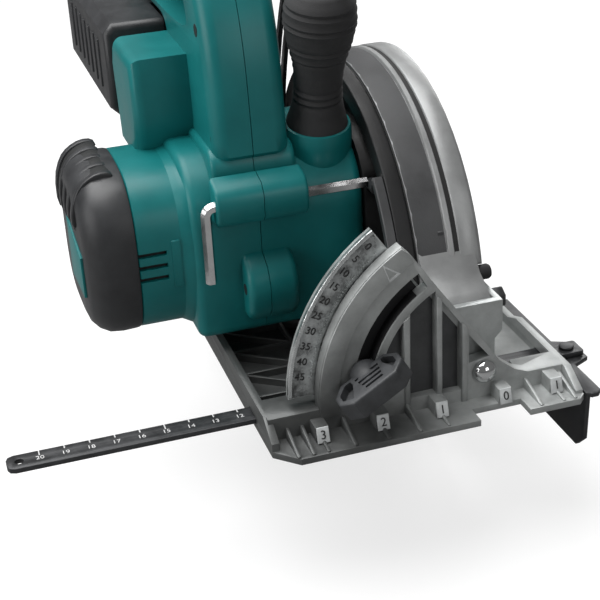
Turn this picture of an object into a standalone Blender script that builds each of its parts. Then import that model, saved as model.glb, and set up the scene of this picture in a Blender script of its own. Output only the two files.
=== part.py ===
"""Cordless circular saw: tilting cast shoe, side motor, geared spindle and two blade guards.

Frame: +X is the cutting direction, +Y the blade side, +Z up. The origin lies on the
underside of the shoe, on the cutting line, just ahead of the blade. Sizes are millimetres.
"""
import math

import bmesh
import bpy
from mathutils import Matrix, Vector

for old in list(bpy.data.objects):
    bpy.data.objects.remove(old, do_unlink=True)

MM = 0.001
GAP = 0.3            # between touching pieces
FIT = 0.18           # running clearance of a shaft in its bearing

# blade and its drive
BLADE_RADIUS = 82.5
BLADE_THICKNESS = 1.6
BLADE_X, BLADE_Z = -98.0, 27.5
BLADE_TEETH = 24
SPINDLE_RADIUS = 7.5
FLANGE_RADIUS = 17.5
FLANGE_THICKNESS = 2.2
BLADE_BOLT_RADIUS = 3.0

# gear train: the teeth share the distance between spindle and motor
GEAR_TEETH, PINION_TEETH = 44, 20
MODULE = 31.0 / 32
GEAR_RADIUS, PINION_RADIUS = GEAR_TEETH * MODULE / 2, PINION_TEETH * MODULE / 2
MOTOR_LEAN = 65.6    # degrees above +X of the line from spindle to motor
MOTOR_X = BLADE_X + (GEAR_RADIUS + PINION_RADIUS) * math.cos(math.radians(MOTOR_LEAN))
MOTOR_Z = BLADE_Z + (GEAR_RADIUS + PINION_RADIUS) * math.sin(math.radians(MOTOR_LEAN))
GEAR_SPAN = (-28.6, -23.2)
BEARING_SPAN = (-36.2, -30.4)
SHAFT_RADIUS = 4.0

# guards
GUARD_WALL = 1.9
GUARD_RADIUS = 88.0
LOWER_WALL = 1.2
LOWER_RADIUS = GUARD_RADIUS - GUARD_WALL - 0.6
GUARD_LEFT, GUARD_RIGHT = -19.2, 8.2
LOWER_LEFT, LOWER_RIGHT = -6.8, 4.6
BOSS_RADIUS = 16.0

# shoe
SHOE_FRONT, SHOE_REAR = 30.0, -202.0
SHOE_LEFT, SHOE_RIGHT = -94.6, 35.6
FLOOR = 2.7
WALL = 3.1
LEFT_WALL_TOP, RIGHT_WALL_TOP = 12.5, 10.0
OPENING_FRONT, OPENING_REAR = -14.4, -184.0
OPENING_LEFT, OPENING_RIGHT = -30.0, 14.0
NOTCH_LEFT, NOTCH_RIGHT, NOTCH_BACK = -11.0, 10.5, 20.9

# bevel hinge, quadrant and scale
TILT_Y, TILT_Z = -2.5, 14.7
QUADRANT_RADIUS = 70.2
QUADRANT_FRONT, QUADRANT_BACK = 13.5, 8.3
SLOT_RADIUS, SLOT_WIDTH = 52.3, 7.5
BEVEL_RANGE = 45.0
KNOB_ANGLE = 168.5
BEVEL_BOLT_RADIUS = 3.0
SCALE_RADIUS = 80.7
TILT_PLATE = 3.2
RIVET_RADIUS = 3.2

# depth hinge
DEPTH_X, DEPTH_Z = -3.5, 37.3
DEPTH_BOLT_RADIUS = 2.5
DEPTH_RANGE = 30.0
DEPTH_LEVER_RADIUS, DEPTH_LEVER_ANGLE = 173.0, 5.0
BRACKET_LEFT, BRACKET_RIGHT = -22.3, 8.0
BRACKET_WALL = 2.6

# rip guide
BAR_X, BAR_WIDTH, BAR_THICKNESS = -6.2, 10.0, 2.1
BAR_LEFT, BAR_RIGHT = -193.0, 50.8
FENCE_DROP = 26.0

# housings
HOUSING_FRONT, HOUSING_REAR = -46.5, -123.0
HOUSING_BOTTOM, HOUSING_TOP = 19.4, 96.0
HOUSING_WALL = 2.6
PARTING = -75.5
HOUSING_RIGHT, HOUSING_LEFT = -29.8, -104.7
BARREL_RADIUS = 35.8
BARREL_END, CAP_END = -126.5, -147.5
WEB = -37.0

# handle and battery
HANDLE_HALF_WIDTH = 16.0
BATTERY_X = (-245.0, -137.0)
BATTERY_Y = (-117.0, -42.0)
BATTERY_Z = (85.0, 133.2)
KEY_SIZE = 4.0
KEY_Z, KEY_X = 80.7, -41.4

SAW = bpy.data.collections.new("circular_saw")
TOOLS = bpy.data.collections.new("cutters")
bpy.context.scene.collection.children.link(SAW)
bpy.context.scene.collection.children.link(TOOLS)

FINISHES = {
    "cast": ((0.40, 0.42, 0.42), 0.45, 0.85),
    "teal": ((0.03, 0.33, 0.31), 0.45, 0.0),
    "black": ((0.03, 0.03, 0.035), 0.55, 0.0),
    "dark": ((0.09, 0.09, 0.10), 0.55, 0.0),
    "rubber": ((0.05, 0.05, 0.05), 0.8, 0.0),
    "steel": ((0.55, 0.56, 0.57), 0.3, 1.0),
    "chrome": ((0.85, 0.85, 0.85), 0.12, 1.0),
    "sheet": ((0.05, 0.05, 0.055), 0.5, 0.3),
    "copper": ((0.55, 0.25, 0.12), 0.4, 1.0),
    "red": ((0.55, 0.05, 0.03), 0.5, 0.0),
}


def register(obj, finish):
    """Put a piece in the saw's collection with its own material, or a tool among the cutters."""
    if finish is None:
        TOOLS.objects.link(obj)
        obj.hide_render = True
        obj.display_type = "WIRE"
        return obj
    SAW.objects.link(obj)
    colour, roughness, metallic = FINISHES[finish]
    material = bpy.data.materials.new(obj.name + "_finish")
    material.use_nodes = True
    shader = material.node_tree.nodes["Principled BSDF"]
    shader.inputs["Base Color"].default_value = (*colour, 1.0)
    shader.inputs["Roughness"].default_value = roughness
    shader.inputs["Metallic"].default_value = metallic
    obj.data.materials.append(material)
    return obj


def from_bmesh(name, bm, finish):
    mesh = bpy.data.meshes.new(name)
    bmesh.ops.recalc_face_normals(bm, faces=bm.faces)
    bm.to_mesh(mesh)
    bm.free()
    return register(bpy.data.objects.new(name, mesh), finish)


def box(name, x, y, z, finish=None, rounding=0.0):
    """A block between the given limits, in millimetres."""
    bm = bmesh.new()
    bmesh.ops.create_cube(bm, size=1.0)
    size = Vector((x[1] - x[0], y[1] - y[0], z[1] - z[0])) * MM
    middle = Vector((x[0] + x[1], y[0] + y[1], z[0] + z[1])) * MM / 2
    bmesh.ops.scale(bm, vec=size, verts=bm.verts)
    bmesh.ops.translate(bm, vec=middle, verts=bm.verts)
    obj = from_bmesh(name, bm, finish)
    soften(obj, rounding)
    return obj


TURNS = {
    "X": Matrix.Rotation(math.radians(90), 4, "Y"),
    "Y": Matrix.Rotation(math.radians(-90), 4, "X"),
    "Z": Matrix.Identity(4),
}


def spot(axis, centre, along):
    """The point at a distance along an axis, whose centre is its two other coordinates."""
    if axis == "X":
        return Vector((along, centre[0], centre[1])) * MM
    if axis == "Y":
        return Vector((centre[0], along, centre[1])) * MM
    return Vector((centre[0], centre[1], along)) * MM


def rod(name, axis, centre, radius, span, finish=None, sides=26, tip=None):
    """A cylinder or, with tip, a cone, along an axis over a span."""
    bm = bmesh.new()
    bmesh.ops.create_cone(
        bm, cap_ends=True, segments=sides, depth=(span[1] - span[0]) * MM,
        radius1=radius * MM, radius2=(radius if tip is None else tip) * MM)
    move = Matrix.Translation(spot(axis, centre, (span[0] + span[1]) / 2))
    bmesh.ops.transform(bm, matrix=move @ TURNS[axis], verts=bm.verts)
    return from_bmesh(name, bm, finish)


def turned(name, axis, centre, profile, finish=None, steps=24, ring=True):
    """A turned piece: (radius, along) points that run down its outer side, closed for a ring."""
    points = [(radius * MM, 0.0, along * MM) for radius, along in profile]
    edges = [(i, i + 1) for i in range(len(points) - 1)]
    if ring:
        edges.append((len(points) - 1, 0))
    mesh = bpy.data.meshes.new(name)
    mesh.from_pydata(points, edges, [])
    obj = bpy.data.objects.new(name, mesh)
    obj.matrix_world = Matrix.Translation(spot(axis, centre, 0.0)) @ TURNS[axis]
    screw = obj.modifiers.new("turn", "SCREW")
    screw.axis = "Z"
    screw.steps = steps
    screw.render_steps = steps
    screw.use_merge_vertices = True
    screw.merge_threshold = 0.00001
    return register(obj, finish)


PLANES = {
    "XZ": Matrix(((1, 0, 0, 0), (0, 0, -1, 0), (0, 1, 0, 0), (0, 0, 0, 1))),
    "YZ": Matrix(((0, 0, 1, 0), (1, 0, 0, 0), (0, 1, 0, 0), (0, 0, 0, 1))),
    "XY": Matrix.Identity(4),
}
NORMALS = {"XZ": Vector((0, 1, 0)), "YZ": Vector((1, 0, 0)), "XY": Vector((0, 0, 1))}


def plate(name, plane, loops, span, finish=None, rounding=0.0):
    """A flat outline with holes, made solid over a span at right angles to its plane."""
    curve = bpy.data.curves.new(name + "_outline", "CURVE")
    curve.dimensions = "2D"
    curve.fill_mode = "BOTH"
    curve.extrude = (span[1] - span[0]) * MM / 2
    for loop in loops:
        spline = curve.splines.new("POLY")
        spline.points.add(len(loop) - 1)
        for point, (u, v) in zip(spline.points, loop):
            point.co = (u * MM, v * MM, 0.0, 1.0)
        spline.use_cyclic_u = True
    flat = bpy.data.objects.new(name + "_outline", curve)
    bpy.context.scene.collection.objects.link(flat)
    graph = bpy.context.evaluated_depsgraph_get()
    mesh = bpy.data.meshes.new_from_object(flat.evaluated_get(graph))
    bpy.data.objects.remove(flat, do_unlink=True)
    bm = bmesh.new()
    bm.from_mesh(mesh)
    bpy.data.meshes.remove(mesh)
    bmesh.ops.remove_doubles(bm, verts=bm.verts, dist=0.00001)
    move = Matrix.Translation(NORMALS[plane] * (span[0] + span[1]) * MM / 2)
    bmesh.ops.transform(bm, matrix=move @ PLANES[plane], verts=bm.verts)
    obj = from_bmesh(name, bm, finish)
    soften(obj, rounding)
    return obj


def soften(obj, width):
    if width > 0:
        bevel = obj.modifiers.new("edges", "BEVEL")
        bevel.width = width * MM
        bevel.segments = 2
        bevel.limit_method = "ANGLE"
        bevel.angle_limit = math.radians(40)


def carve(target, *tools):
    for tool in tools:
        cut = target.modifiers.new("cut", "BOOLEAN")
        cut.operation = "DIFFERENCE"
        cut.object = tool
    return target


def unite(target, *tools):
    for tool in tools:
        joint = target.modifiers.new("join", "BOOLEAN")
        joint.operation = "UNION"
        joint.object = tool
    return target


def arc(centre, radius, start, end, count):
    """Points along an arc, in degrees, both ends included."""
    angles = [math.radians(start + (end - start) * i / (count - 1)) for i in range(count)]
    return [(centre[0] + radius * math.cos(a), centre[1] + radius * math.sin(a)) for a in angles]


def circle(centre, radius, count=20):
    return arc(centre, radius, 0, 360, count + 1)[:-1]


def at(centre, radius, angle):
    return arc(centre, radius, angle, angle, 2)[0]


def sector(centre, inner, outer, start, end, count):
    """A band between two radii and two angles."""
    return arc(centre, outer, start, end, count) + arc(centre, inner, end, start, count)


def rounded(low, high, radii, steps=5):
    """A rectangle with its own radius at the low-low, high-low, high-high and low-high corners."""
    (u0, v0), (u1, v1) = low, high
    a, b, c, d = radii
    return (arc((u0 + a, v0 + a), a, 180, 270, steps) + arc((u1 - b, v0 + b), b, 270, 360, steps)
            + arc((u1 - c, v1 - c), c, 0, 90, steps) + arc((u0 + d, v1 - d), d, 90, 180, steps))


def pivot(name, position, pieces):
    """An empty on a joint's axis that carries the pieces of a moving body."""
    empty = bpy.data.objects.new(name, None)
    empty.location = Vector(position) * MM
    SAW.objects.link(empty)
    back = Matrix.Translation(-Vector(position) * MM)
    for piece in pieces:
        piece.parent = empty
        piece.matrix_parent_inverse = back
    return empty


BLADE = (BLADE_X, BLADE_Z)
MOTOR = (MOTOR_X, MOTOR_Z)
TILT = (TILT_Y, TILT_Z)
DEPTH = (DEPTH_X, DEPTH_Z)
KNOB = at(TILT, SLOT_RADIUS, KNOB_ANGLE)
LEVER = at(DEPTH, DEPTH_LEVER_RADIUS, 180 - DEPTH_LEVER_ANGLE)
GRIP_PLACE = (Matrix.Translation(Vector((-64.0, -43.8, HOUSING_TOP + 5.2)) * MM)
              @ Matrix.Rotation(math.radians(12), 4, "Y"))
LOCK_AT, LOCK_RADIUS = (-25.5, 76.5), 3.0
REAR_LUG = (-193.0, -190.0)
TILT_PLATE_SPAN = (QUADRANT_BACK - 0.6 - TILT_PLATE, QUADRANT_BACK - 0.6)
REAR_PLATE_SPAN = (REAR_LUG[0] - GAP - TILT_PLATE, REAR_LUG[0] - GAP)
BAR_SPAN = (BAR_X - BAR_WIDTH / 2, BAR_X + BAR_WIDTH / 2)
BAR_Z = (FLOOR + 0.15, FLOOR + 0.15 + BAR_THICKNESS)
GUIDE_SPAN = (-29.5, -27.5)


def shoe_floor():
    outline = [
        (SHOE_REAR, SHOE_LEFT), (SHOE_FRONT - 9, SHOE_LEFT), (SHOE_FRONT, SHOE_LEFT + 9),
        (SHOE_FRONT, NOTCH_LEFT), (NOTCH_BACK, NOTCH_LEFT), (NOTCH_BACK, NOTCH_RIGHT),
        (SHOE_FRONT, NOTCH_RIGHT), (SHOE_FRONT, SHOE_RIGHT - 3), (SHOE_FRONT - 3, SHOE_RIGHT),
        (SHOE_REAR, SHOE_RIGHT)]
    opening = rounded((OPENING_REAR, OPENING_LEFT), (OPENING_FRONT, OPENING_RIGHT), (4, 0.6, 0.6, 4), 3)
    return plate("shoe", "XY", [outline, opening], (0, FLOOR), "cast")


def shoe_walls():
    left = [
        (SHOE_REAR, 1), (SHOE_FRONT - 9, 1), (SHOE_FRONT - 9, 6), (10, LEFT_WALL_TOP),
        (SHOE_REAR + 6, LEFT_WALL_TOP), (SHOE_REAR, 8)]
    right = [
        (SHOE_REAR, 1), (SHOE_FRONT - 4, 1), (SHOE_FRONT - 4, 4), (15, RIGHT_WALL_TOP),
        (-30, RIGHT_WALL_TOP), (-38, 7), (SHOE_REAR + 4, 7), (SHOE_REAR, 5)]
    return [
        plate("left_wall", "XZ", [left], (SHOE_LEFT, SHOE_LEFT + WALL)),
        plate("right_wall", "XZ", [right], (SHOE_RIGHT - WALL, SHOE_RIGHT)),
        box("rear_wall", (SHOE_REAR, SHOE_REAR + WALL), (SHOE_LEFT, SHOE_RIGHT), (1, 5)),
        box("corner_deck", (-2, QUADRANT_FRONT), (SHOE_LEFT + 1, -71), (9.5, LEFT_WALL_TOP)),
        box("corner_front", (QUADRANT_FRONT - WALL, QUADRANT_FRONT), (SHOE_LEFT + 1, -68), (1, 12)),
        box("right_deck", (2, QUADRANT_FRONT), (14, SHOE_RIGHT - 1), (7.8, RIGHT_WALL_TOP)),
        box("rear_lug", REAR_LUG, (TILT_Y - 9, TILT_Y + 9), (1, TILT_Z)),
        rod("rear_lug_eye", "X", TILT, 9, REAR_LUG, sides=20),
    ]


def quadrant_outline():
    crest = 119.6
    return (arc(TILT, QUADRANT_RADIUS, 186, crest, 16)
            + [(-33.0, 71.3), (-21.6, 54.7), (-4.5, 30.9), (4.3, 18.0), (11.2, 12.4),
               (17.1, RIGHT_WALL_TOP), (SHOE_RIGHT - 1, RIGHT_WALL_TOP), (SHOE_RIGHT - 1, 1), (-72.0, 1)])


def quadrant_cuts():
    half = SLOT_WIDTH / 2
    ends = math.degrees((BEVEL_BOLT_RADIUS + 0.5) / SLOT_RADIUS)
    low, high = KNOB_ANGLE + ends, KNOB_ANGLE - BEVEL_RANGE - ends
    slot = sector(TILT, SLOT_RADIUS - half, SLOT_RADIUS + half, low, high, 12)
    inner = SLOT_RADIUS - half - 3.6
    first = arc(TILT, inner, 166, 138.5, 6) + [(-37.0, 20.0)]
    second = arc(TILT, inner, 134.5, 117.5, 4) + [(-23.3, 9.0), (-34.4, 9.0)]
    third = [(-20.9, 50.0), (-12.4, 38.0), (-12.4, 8.0), (-20.9, 8.0)]
    window = [(-9.2, 32.4), (-9.2, 19.6), (-0.3, 21.0)]
    back, front = QUADRANT_BACK - 1, QUADRANT_FRONT + 1
    face = QUADRANT_BACK + 1.4
    return [
        plate("slot_cut", "YZ", [slot], (back, front)),
        plate("window_cut", "YZ", [window], (back, front)),
        plate("pocket_one", "YZ", [first], (face, front)),
        plate("pocket_two", "YZ", [second], (face, front)),
        plate("pocket_three", "YZ", [third], (face, front)),
        rod("rivet_hole", "X", TILT, RIVET_RADIUS + GAP, (back, front)),
    ]


def make_shoe():
    shoe = shoe_floor()
    quadrant = plate("quadrant", "YZ", [quadrant_outline()], (QUADRANT_BACK, QUADRANT_FRONT))
    unite(shoe, *shoe_walls(), quadrant)
    for index, y in enumerate((-86, -80, -63, -36, 16)):
        rib = plate(f"apron_rib_{index}", "XZ", [[(12.5, 1), (28.5, 1), (28.5, 3.4), (12.5, 6.5)]],
                    (y - 0.8, y + 0.8))
        unite(shoe, rib)
    for index, y in enumerate((-74.0, -49.1, -24.1, 3.4, 25.9)):
        unite(shoe, box(f"label_block_{index}", (12.5, 21.0), (y - 2.7, y + 2.7), (1, 9.0)))
    carve(shoe, *quadrant_cuts())
    carve(shoe, box("bar_way", (BAR_SPAN[0] - 0.4, BAR_SPAN[1] + 0.4), (-110, 60),
                    (FLOOR + 0.02, BAR_Z[1] + 0.4)))
    carve(shoe, rod("rear_rivet_hole", "X", TILT, RIVET_RADIUS + GAP, (-200, -185)))
    bridge = box("bar_bridge", (BAR_SPAN[0] - 3, BAR_SPAN[1] + 3), (-52, -38), (BAR_Z[1] + 0.6, 8.6))
    legs = [box(f"bridge_leg_{i}", (x, x + 2.6), (-52, -38), (1, 8.6))
            for i, x in enumerate((BAR_SPAN[0] - 3.2, BAR_SPAN[1] + 0.6))]
    unite(shoe, bridge, *legs)
    carve(shoe, rod("clamp_hole", "Z", (BAR_X, -45), 2.8, (BAR_Z[1], 12), sides=20))
    return shoe


def rivet(name, span, dome_at, direction):
    """A headed hinge pin along X through the shoe and the tilting plate."""
    pin = rod(name, "X", TILT, RIVET_RADIUS, span, "steel", sides=18)
    head_span = (dome_at, dome_at + 2.6) if direction > 0 else (dome_at - 2.6, dome_at)
    wide, narrow = (6.0, 3.4) if direction > 0 else (3.4, 6.0)
    unite(pin, rod(name + "_head", "X", TILT, wide, head_span, sides=18, tip=narrow))
    return pin


def make_rip_guide():
    bar = plate("guide_bar", "XY", [
        rounded((BAR_SPAN[0], BAR_LEFT), (BAR_SPAN[1], BAR_RIGHT), (3, 3, 1, 1), 3),
        circle((BAR_X, BAR_LEFT + 5), 1.8, 14),
        circle((BAR_X, BAR_RIGHT - 6), 1.6 + GAP, 16)], BAR_Z, "sheet")
    inner = SHOE_RIGHT + 1.2
    flange_top = FLOOR - 0.2
    fence = plate("guide_fence", "XZ", [[
        (-62, flange_top), (-66, flange_top - 4), (-66, -FENCE_DROP + 6), (-60, -FENCE_DROP),
        (20, -FENCE_DROP), (26, -FENCE_DROP + 6), (27, flange_top)]], (inner, inner + 2), "sheet")
    flange = plate("fence_flange", "XY", [[
        (-62, inner + 0.5), (26, inner + 0.5), (28, inner + 2), (28, inner + 5), (26, inner + 7),
        (4, inner + 7), (0, BAR_RIGHT + 1), (-14, BAR_RIGHT + 1), (-18, inner + 7), (-62, inner + 7)]],
        (flange_top - 2, flange_top))
    unite(fence, flange)
    carve(fence, rod("fence_hole", "Z", (BAR_X, BAR_RIGHT - 6), 1.6 + GAP, (-2, 4), sides=16))
    pin = rod("guide_rivet", "Z", (BAR_X, BAR_RIGHT - 6), 1.6, (-1.2, BAR_Z[1] + 0.5), "steel", sides=16)
    unite(pin, rod("guide_rivet_head", "Z", (BAR_X, BAR_RIGHT - 6), 3.2,
                   (BAR_Z[1] + 0.2, BAR_Z[1] + 1.4), sides=16))
    unite(pin, rod("guide_rivet_foot", "Z", (BAR_X, BAR_RIGHT - 6), 3.0, (-1.4, 0.3), sides=16))
    return [bar, fence, pin]


def make_clamp_screw():
    screw = rod("guide_clamp_screw", "Z", (BAR_X, -45), 2.5, (BAR_Z[1] + 0.1, 14), "steel", sides=20)
    grip = plate("clamp_grip", "XZ", [
        [(BAR_X - 9, 18), (BAR_X - 9, 12), (BAR_X - 4, 9.2), (BAR_X + 4, 9.2), (BAR_X + 9, 12),
         (BAR_X + 9, 18), (BAR_X, 15)]], (-47, -43))
    return unite(screw, grip)


def make_tilt_bracket():
    """Front tilting casting: hinge tongue, scale sector and the fork that holds the guard's nose."""
    lap = 0.8
    outline = (arc(TILT, 8.0, 215, 325, 7)
               + [(TILT_Y + 7.3, TILT_Z), (TILT_Y + 7.3, 25.0), (BRACKET_RIGHT, 28.5),
                  (BRACKET_RIGHT, 42.0), (BRACKET_LEFT, 42.0), (BRACKET_LEFT, 47.0)]
               + arc(TILT, SCALE_RADIUS, 123.3, 178.8, 13)
               + [(-64.0, 16.2), (-48.0, 14.0)])
    window = arc(TILT, 60.5, 126, 156, 6) + arc(TILT, 33.0, 156, 131, 4)
    bracket = plate("tilt_bracket", "YZ", [
        outline, window, circle(TILT, RIVET_RADIUS + GAP, 24),
        circle(KNOB, BEVEL_BOLT_RADIUS + GAP, 20)], TILT_PLATE_SPAN, "cast")
    front = TILT_PLATE_SPAN[0] + lap
    side = [(-13.0, 42.0), (-15.0, 38.0), (-12.0, 31.0), (-4.0, 28.0), (front, 28.0), (front, 42.0)]
    short = arc(DEPTH, 5.6, 110, 250, 7) + [(front, 30.0), (front, 42.0)]
    hole = circle(DEPTH, DEPTH_BOLT_RADIUS + GAP, 20)
    unite(bracket,
          plate("fork_right", "XZ", [side, hole], (BRACKET_RIGHT - BRACKET_WALL, BRACKET_RIGHT)),
          plate("fork_left", "XZ", [short, hole], (BRACKET_LEFT, BRACKET_LEFT + BRACKET_WALL)))
    return bracket


def make_rear_bracket():
    outline = (arc(TILT, 8.0, 180, 340, 8)
               + [(TILT_Y + 8, TILT_Z + 3), (TILT_Y, 26.0), (GUIDE_SPAN[0], 30.0), (GUIDE_SPAN[0], 16.0)])
    bracket = plate("rear_bracket", "YZ", [outline, circle(TILT, RIVET_RADIUS + GAP, 24)],
                    REAR_PLATE_SPAN, "sheet")
    return bracket


def make_depth_guide():
    """Slotted quadrant of sheet steel, centred on the depth hinge."""
    slack = math.degrees((DEPTH_BOLT_RADIUS + 0.6) / DEPTH_LEVER_RADIUS)
    start = 180 - DEPTH_LEVER_ANGLE + slack
    end = 180 - DEPTH_LEVER_ANGLE - DEPTH_RANGE - slack
    half = DEPTH_BOLT_RADIUS + 0.5
    band = (arc(DEPTH, DEPTH_LEVER_RADIUS + 7, 187, end - 3, 14)
            + arc(DEPTH, DEPTH_LEVER_RADIUS - 7, end - 3, 186, 14)
            + [(-180.0, 17.0), (REAR_PLATE_SPAN[1] + GAP, 16.0), (REAR_PLATE_SPAN[1] + GAP, 30.0),
               (-189.0, 30.0)])
    slot = sector(DEPTH, DEPTH_LEVER_RADIUS - half, DEPTH_LEVER_RADIUS + half, start, end, 14)
    return plate("depth_guide", "XZ", [band, slot], GUIDE_SPAN, "sheet")


def hex_head(name, axis, centre, flats, span, finish=None):
    return rod(name, axis, centre, flats / math.sqrt(3), span, finish, sides=6)


def make_depth_pivot():
    bolt = rod("depth_pivot_bolt", "Y", DEPTH, DEPTH_BOLT_RADIUS, (BRACKET_LEFT - 6.5, 10), "dark", sides=18)
    unite(bolt, hex_head("pivot_head", "Y", DEPTH, 8.0, (BRACKET_RIGHT + GAP, BRACKET_RIGHT + 5)))
    nut = hex_head("depth_pivot_nut", "Y", DEPTH, 8.0, (BRACKET_LEFT - 5, BRACKET_LEFT - GAP), "steel")
    carve(nut, rod("nut_bore", "Y", DEPTH, DEPTH_BOLT_RADIUS + FIT, (BRACKET_LEFT - 8, BRACKET_LEFT + 2)))
    return [bolt, nut]


def make_bevel_lock():
    back = TILT_PLATE_SPAN[0] - GAP
    bolt = rod("bevel_bolt", "X", KNOB, BEVEL_BOLT_RADIUS, (back - 1, 28.0), "steel", sides=18)
    unite(bolt, hex_head("bevel_bolt_head", "X", KNOB, 10, (back - 3.5, back)))
    knob = rod("bevel_knob", "X", KNOB, 6.2, (QUADRANT_FRONT + GAP, 22.0), "dark", sides=20)
    lean = Matrix.Rotation(math.radians(31), 4, "X")
    wing = box("knob_wing", (19.0, 32.0), (-14.5, 14.5), (-3.6, 3.6), rounding=1.2)
    wing.matrix_world = Matrix.Translation(Vector((0, KNOB[0], KNOB[1])) * MM) @ lean
    unite(knob, wing)
    carve(knob, rod("knob_bore", "X", KNOB, BEVEL_BOLT_RADIUS + GAP, (10, 28.4), sides=18))
    return bolt, knob


def make_upper_guard():
    """Cast cover over the top of the blade, with the nose that hangs in the fork."""
    outline = arc(BLADE, GUARD_RADIUS, -4, 188, 29) + [(-165.0, 8.5), (-38.0, 8.5)]
    guard = plate("upper_guard", "XZ", [outline], (GUARD_LEFT, GUARD_RIGHT), "cast")
    inner = GUARD_RADIUS - GUARD_WALL
    chamber = rod("guard_chamber", "Y", BLADE, inner,
                  (GUARD_LEFT + GUARD_WALL, GUARD_RIGHT - GUARD_WALL), sides=44)
    nose = plate("guard_nose", "XZ", [
        arc(BLADE, GUARD_RADIUS - 1.2, 3, 22, 6)
        + [(-8.0, 48.0)] + arc(DEPTH, 7.4, 62, -110, 10)],
        (GUARD_LEFT + 0.3, BRACKET_RIGHT - BRACKET_WALL - 0.4))
    carve(guard, chamber, rod("guard_side", "Y", BLADE, 52.0, (0, 20), sides=36),
          rod("guard_hub_way", "Y", BLADE, BOSS_RADIUS + GAP, (-25, -10), sides=26),
          box("guard_front_cut", (-62, 20), (3.0, 20), (-20, 48.8)))
    unite(guard, nose)
    carve(guard, rod("nose_hole", "Y", DEPTH, DEPTH_BOLT_RADIUS + FIT, (-30, 20), sides=20))
    return guard


def make_lower_guard():
    """Sprung C-shaped cover round the lower half of the blade."""
    start, end = -172.0, -8.0
    outline = arc(BLADE, LOWER_RADIUS, start, end, 27) + arc(BLADE, 21.5, 20, 160, 9)
    guard = plate("lower_guard", "XZ", [outline], (LOWER_LEFT, LOWER_RIGHT), "cast")
    chamber = rod("lower_chamber", "Y", BLADE, LOWER_RADIUS - LOWER_WALL,
                  (LOWER_LEFT + LOWER_WALL, LOWER_RIGHT - LOWER_WALL), sides=44)
    carve(guard, chamber, rod("lower_side", "Y", BLADE, 60.0, (0, 20), sides=36))
    unite(guard, rod("guard_hub", "Y", BLADE, 20.3, (-13.0, LOWER_LEFT + LOWER_WALL / 2), sides=26))
    carve(guard, rod("guard_hub_bore", "Y", BLADE, BOSS_RADIUS + FIT, (-20, 0), sides=26))
    return guard


def gear_outline(centre, teeth, phase):
    """A spur gear's outline, with working backlash; phase is the angle of one tooth's middle."""
    pitch = teeth * MODULE / 2
    root, tip = pitch - 1.2, pitch + 0.8
    points = []
    for i in range(teeth):
        middle = phase + 360.0 * i / teeth
        wide = 360.0 / teeth * 0.27
        slim = 360.0 / teeth * 0.12
        points += [at(centre, root, middle - wide), at(centre, tip, middle - slim),
                   at(centre, tip, middle + slim), at(centre, root, middle + wide)]
    return points


def make_spindle_group():
    half = BLADE_THICKNESS / 2
    spindle = rod("spindle", "Y", BLADE, SPINDLE_RADIUS,
                  (BEARING_SPAN[0], -half - FLANGE_THICKNESS - 0.1 - GAP),
                  "steel", sides=20)
    carve(spindle, rod("spindle_thread", "Y", BLADE, BLADE_BOLT_RADIUS + GAP, (-22, 5), sides=20))
    phase = MOTOR_LEAN + 180.0 / GEAR_TEETH
    gear = plate("drive_gear", "XZ", [
        gear_outline(BLADE, GEAR_TEETH, phase), circle(BLADE, SPINDLE_RADIUS + FIT, 20)],
        GEAR_SPAN, "steel")
    blade_outline = []
    for i in range(BLADE_TEETH):
        turn = 360.0 * i / BLADE_TEETH
        blade_outline += [at(BLADE, BLADE_RADIUS, turn), at(BLADE, BLADE_RADIUS - 6.5, turn - 1.4),
                          at(BLADE, BLADE_RADIUS - 7.4, turn + 1.0),
                           at(BLADE, BLADE_RADIUS - 2.4, turn + 8.0)]
    blade = plate("blade", "XZ", [blade_outline, circle(BLADE, 10.0 + FIT, 24)], (-half, half), "steel")
    inner_face = -half - 0.1
    inner = turned("inner_flange", "Y", BLADE, [
        (10.0, half - 0.3), (10.0, inner_face), (FLANGE_RADIUS, inner_face),
        (FLANGE_RADIUS, inner_face - FLANGE_THICKNESS),
        (BLADE_BOLT_RADIUS + GAP, inner_face - FLANGE_THICKNESS),
        (BLADE_BOLT_RADIUS + GAP, half - 0.3)], "steel")
    outer = turned("outer_flange", "Y", BLADE, [
        (FLANGE_RADIUS, half + 0.1 + FLANGE_THICKNESS), (FLANGE_RADIUS, half + 0.1),
        (BLADE_BOLT_RADIUS + GAP, half + 0.1), (BLADE_BOLT_RADIUS + GAP, half + 0.1 + FLANGE_THICKNESS)],
        "steel")
    seat = half + 0.1 + FLANGE_THICKNESS + 0.1
    bolt = rod("blade_bolt", "Y", BLADE, BLADE_BOLT_RADIUS, (-18, seat + 1), "dark", sides=20)
    unite(bolt, rod("blade_bolt_head", "Y", BLADE, 7.0, (seat, seat + 4.5), sides=18))
    carve(bolt, hex_head("blade_bolt_socket", "Y", BLADE, KEY_SIZE + 0.4, (seat + 1.5, seat + 6)))
    return [spindle, gear, blade, inner, outer, bolt]


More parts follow.
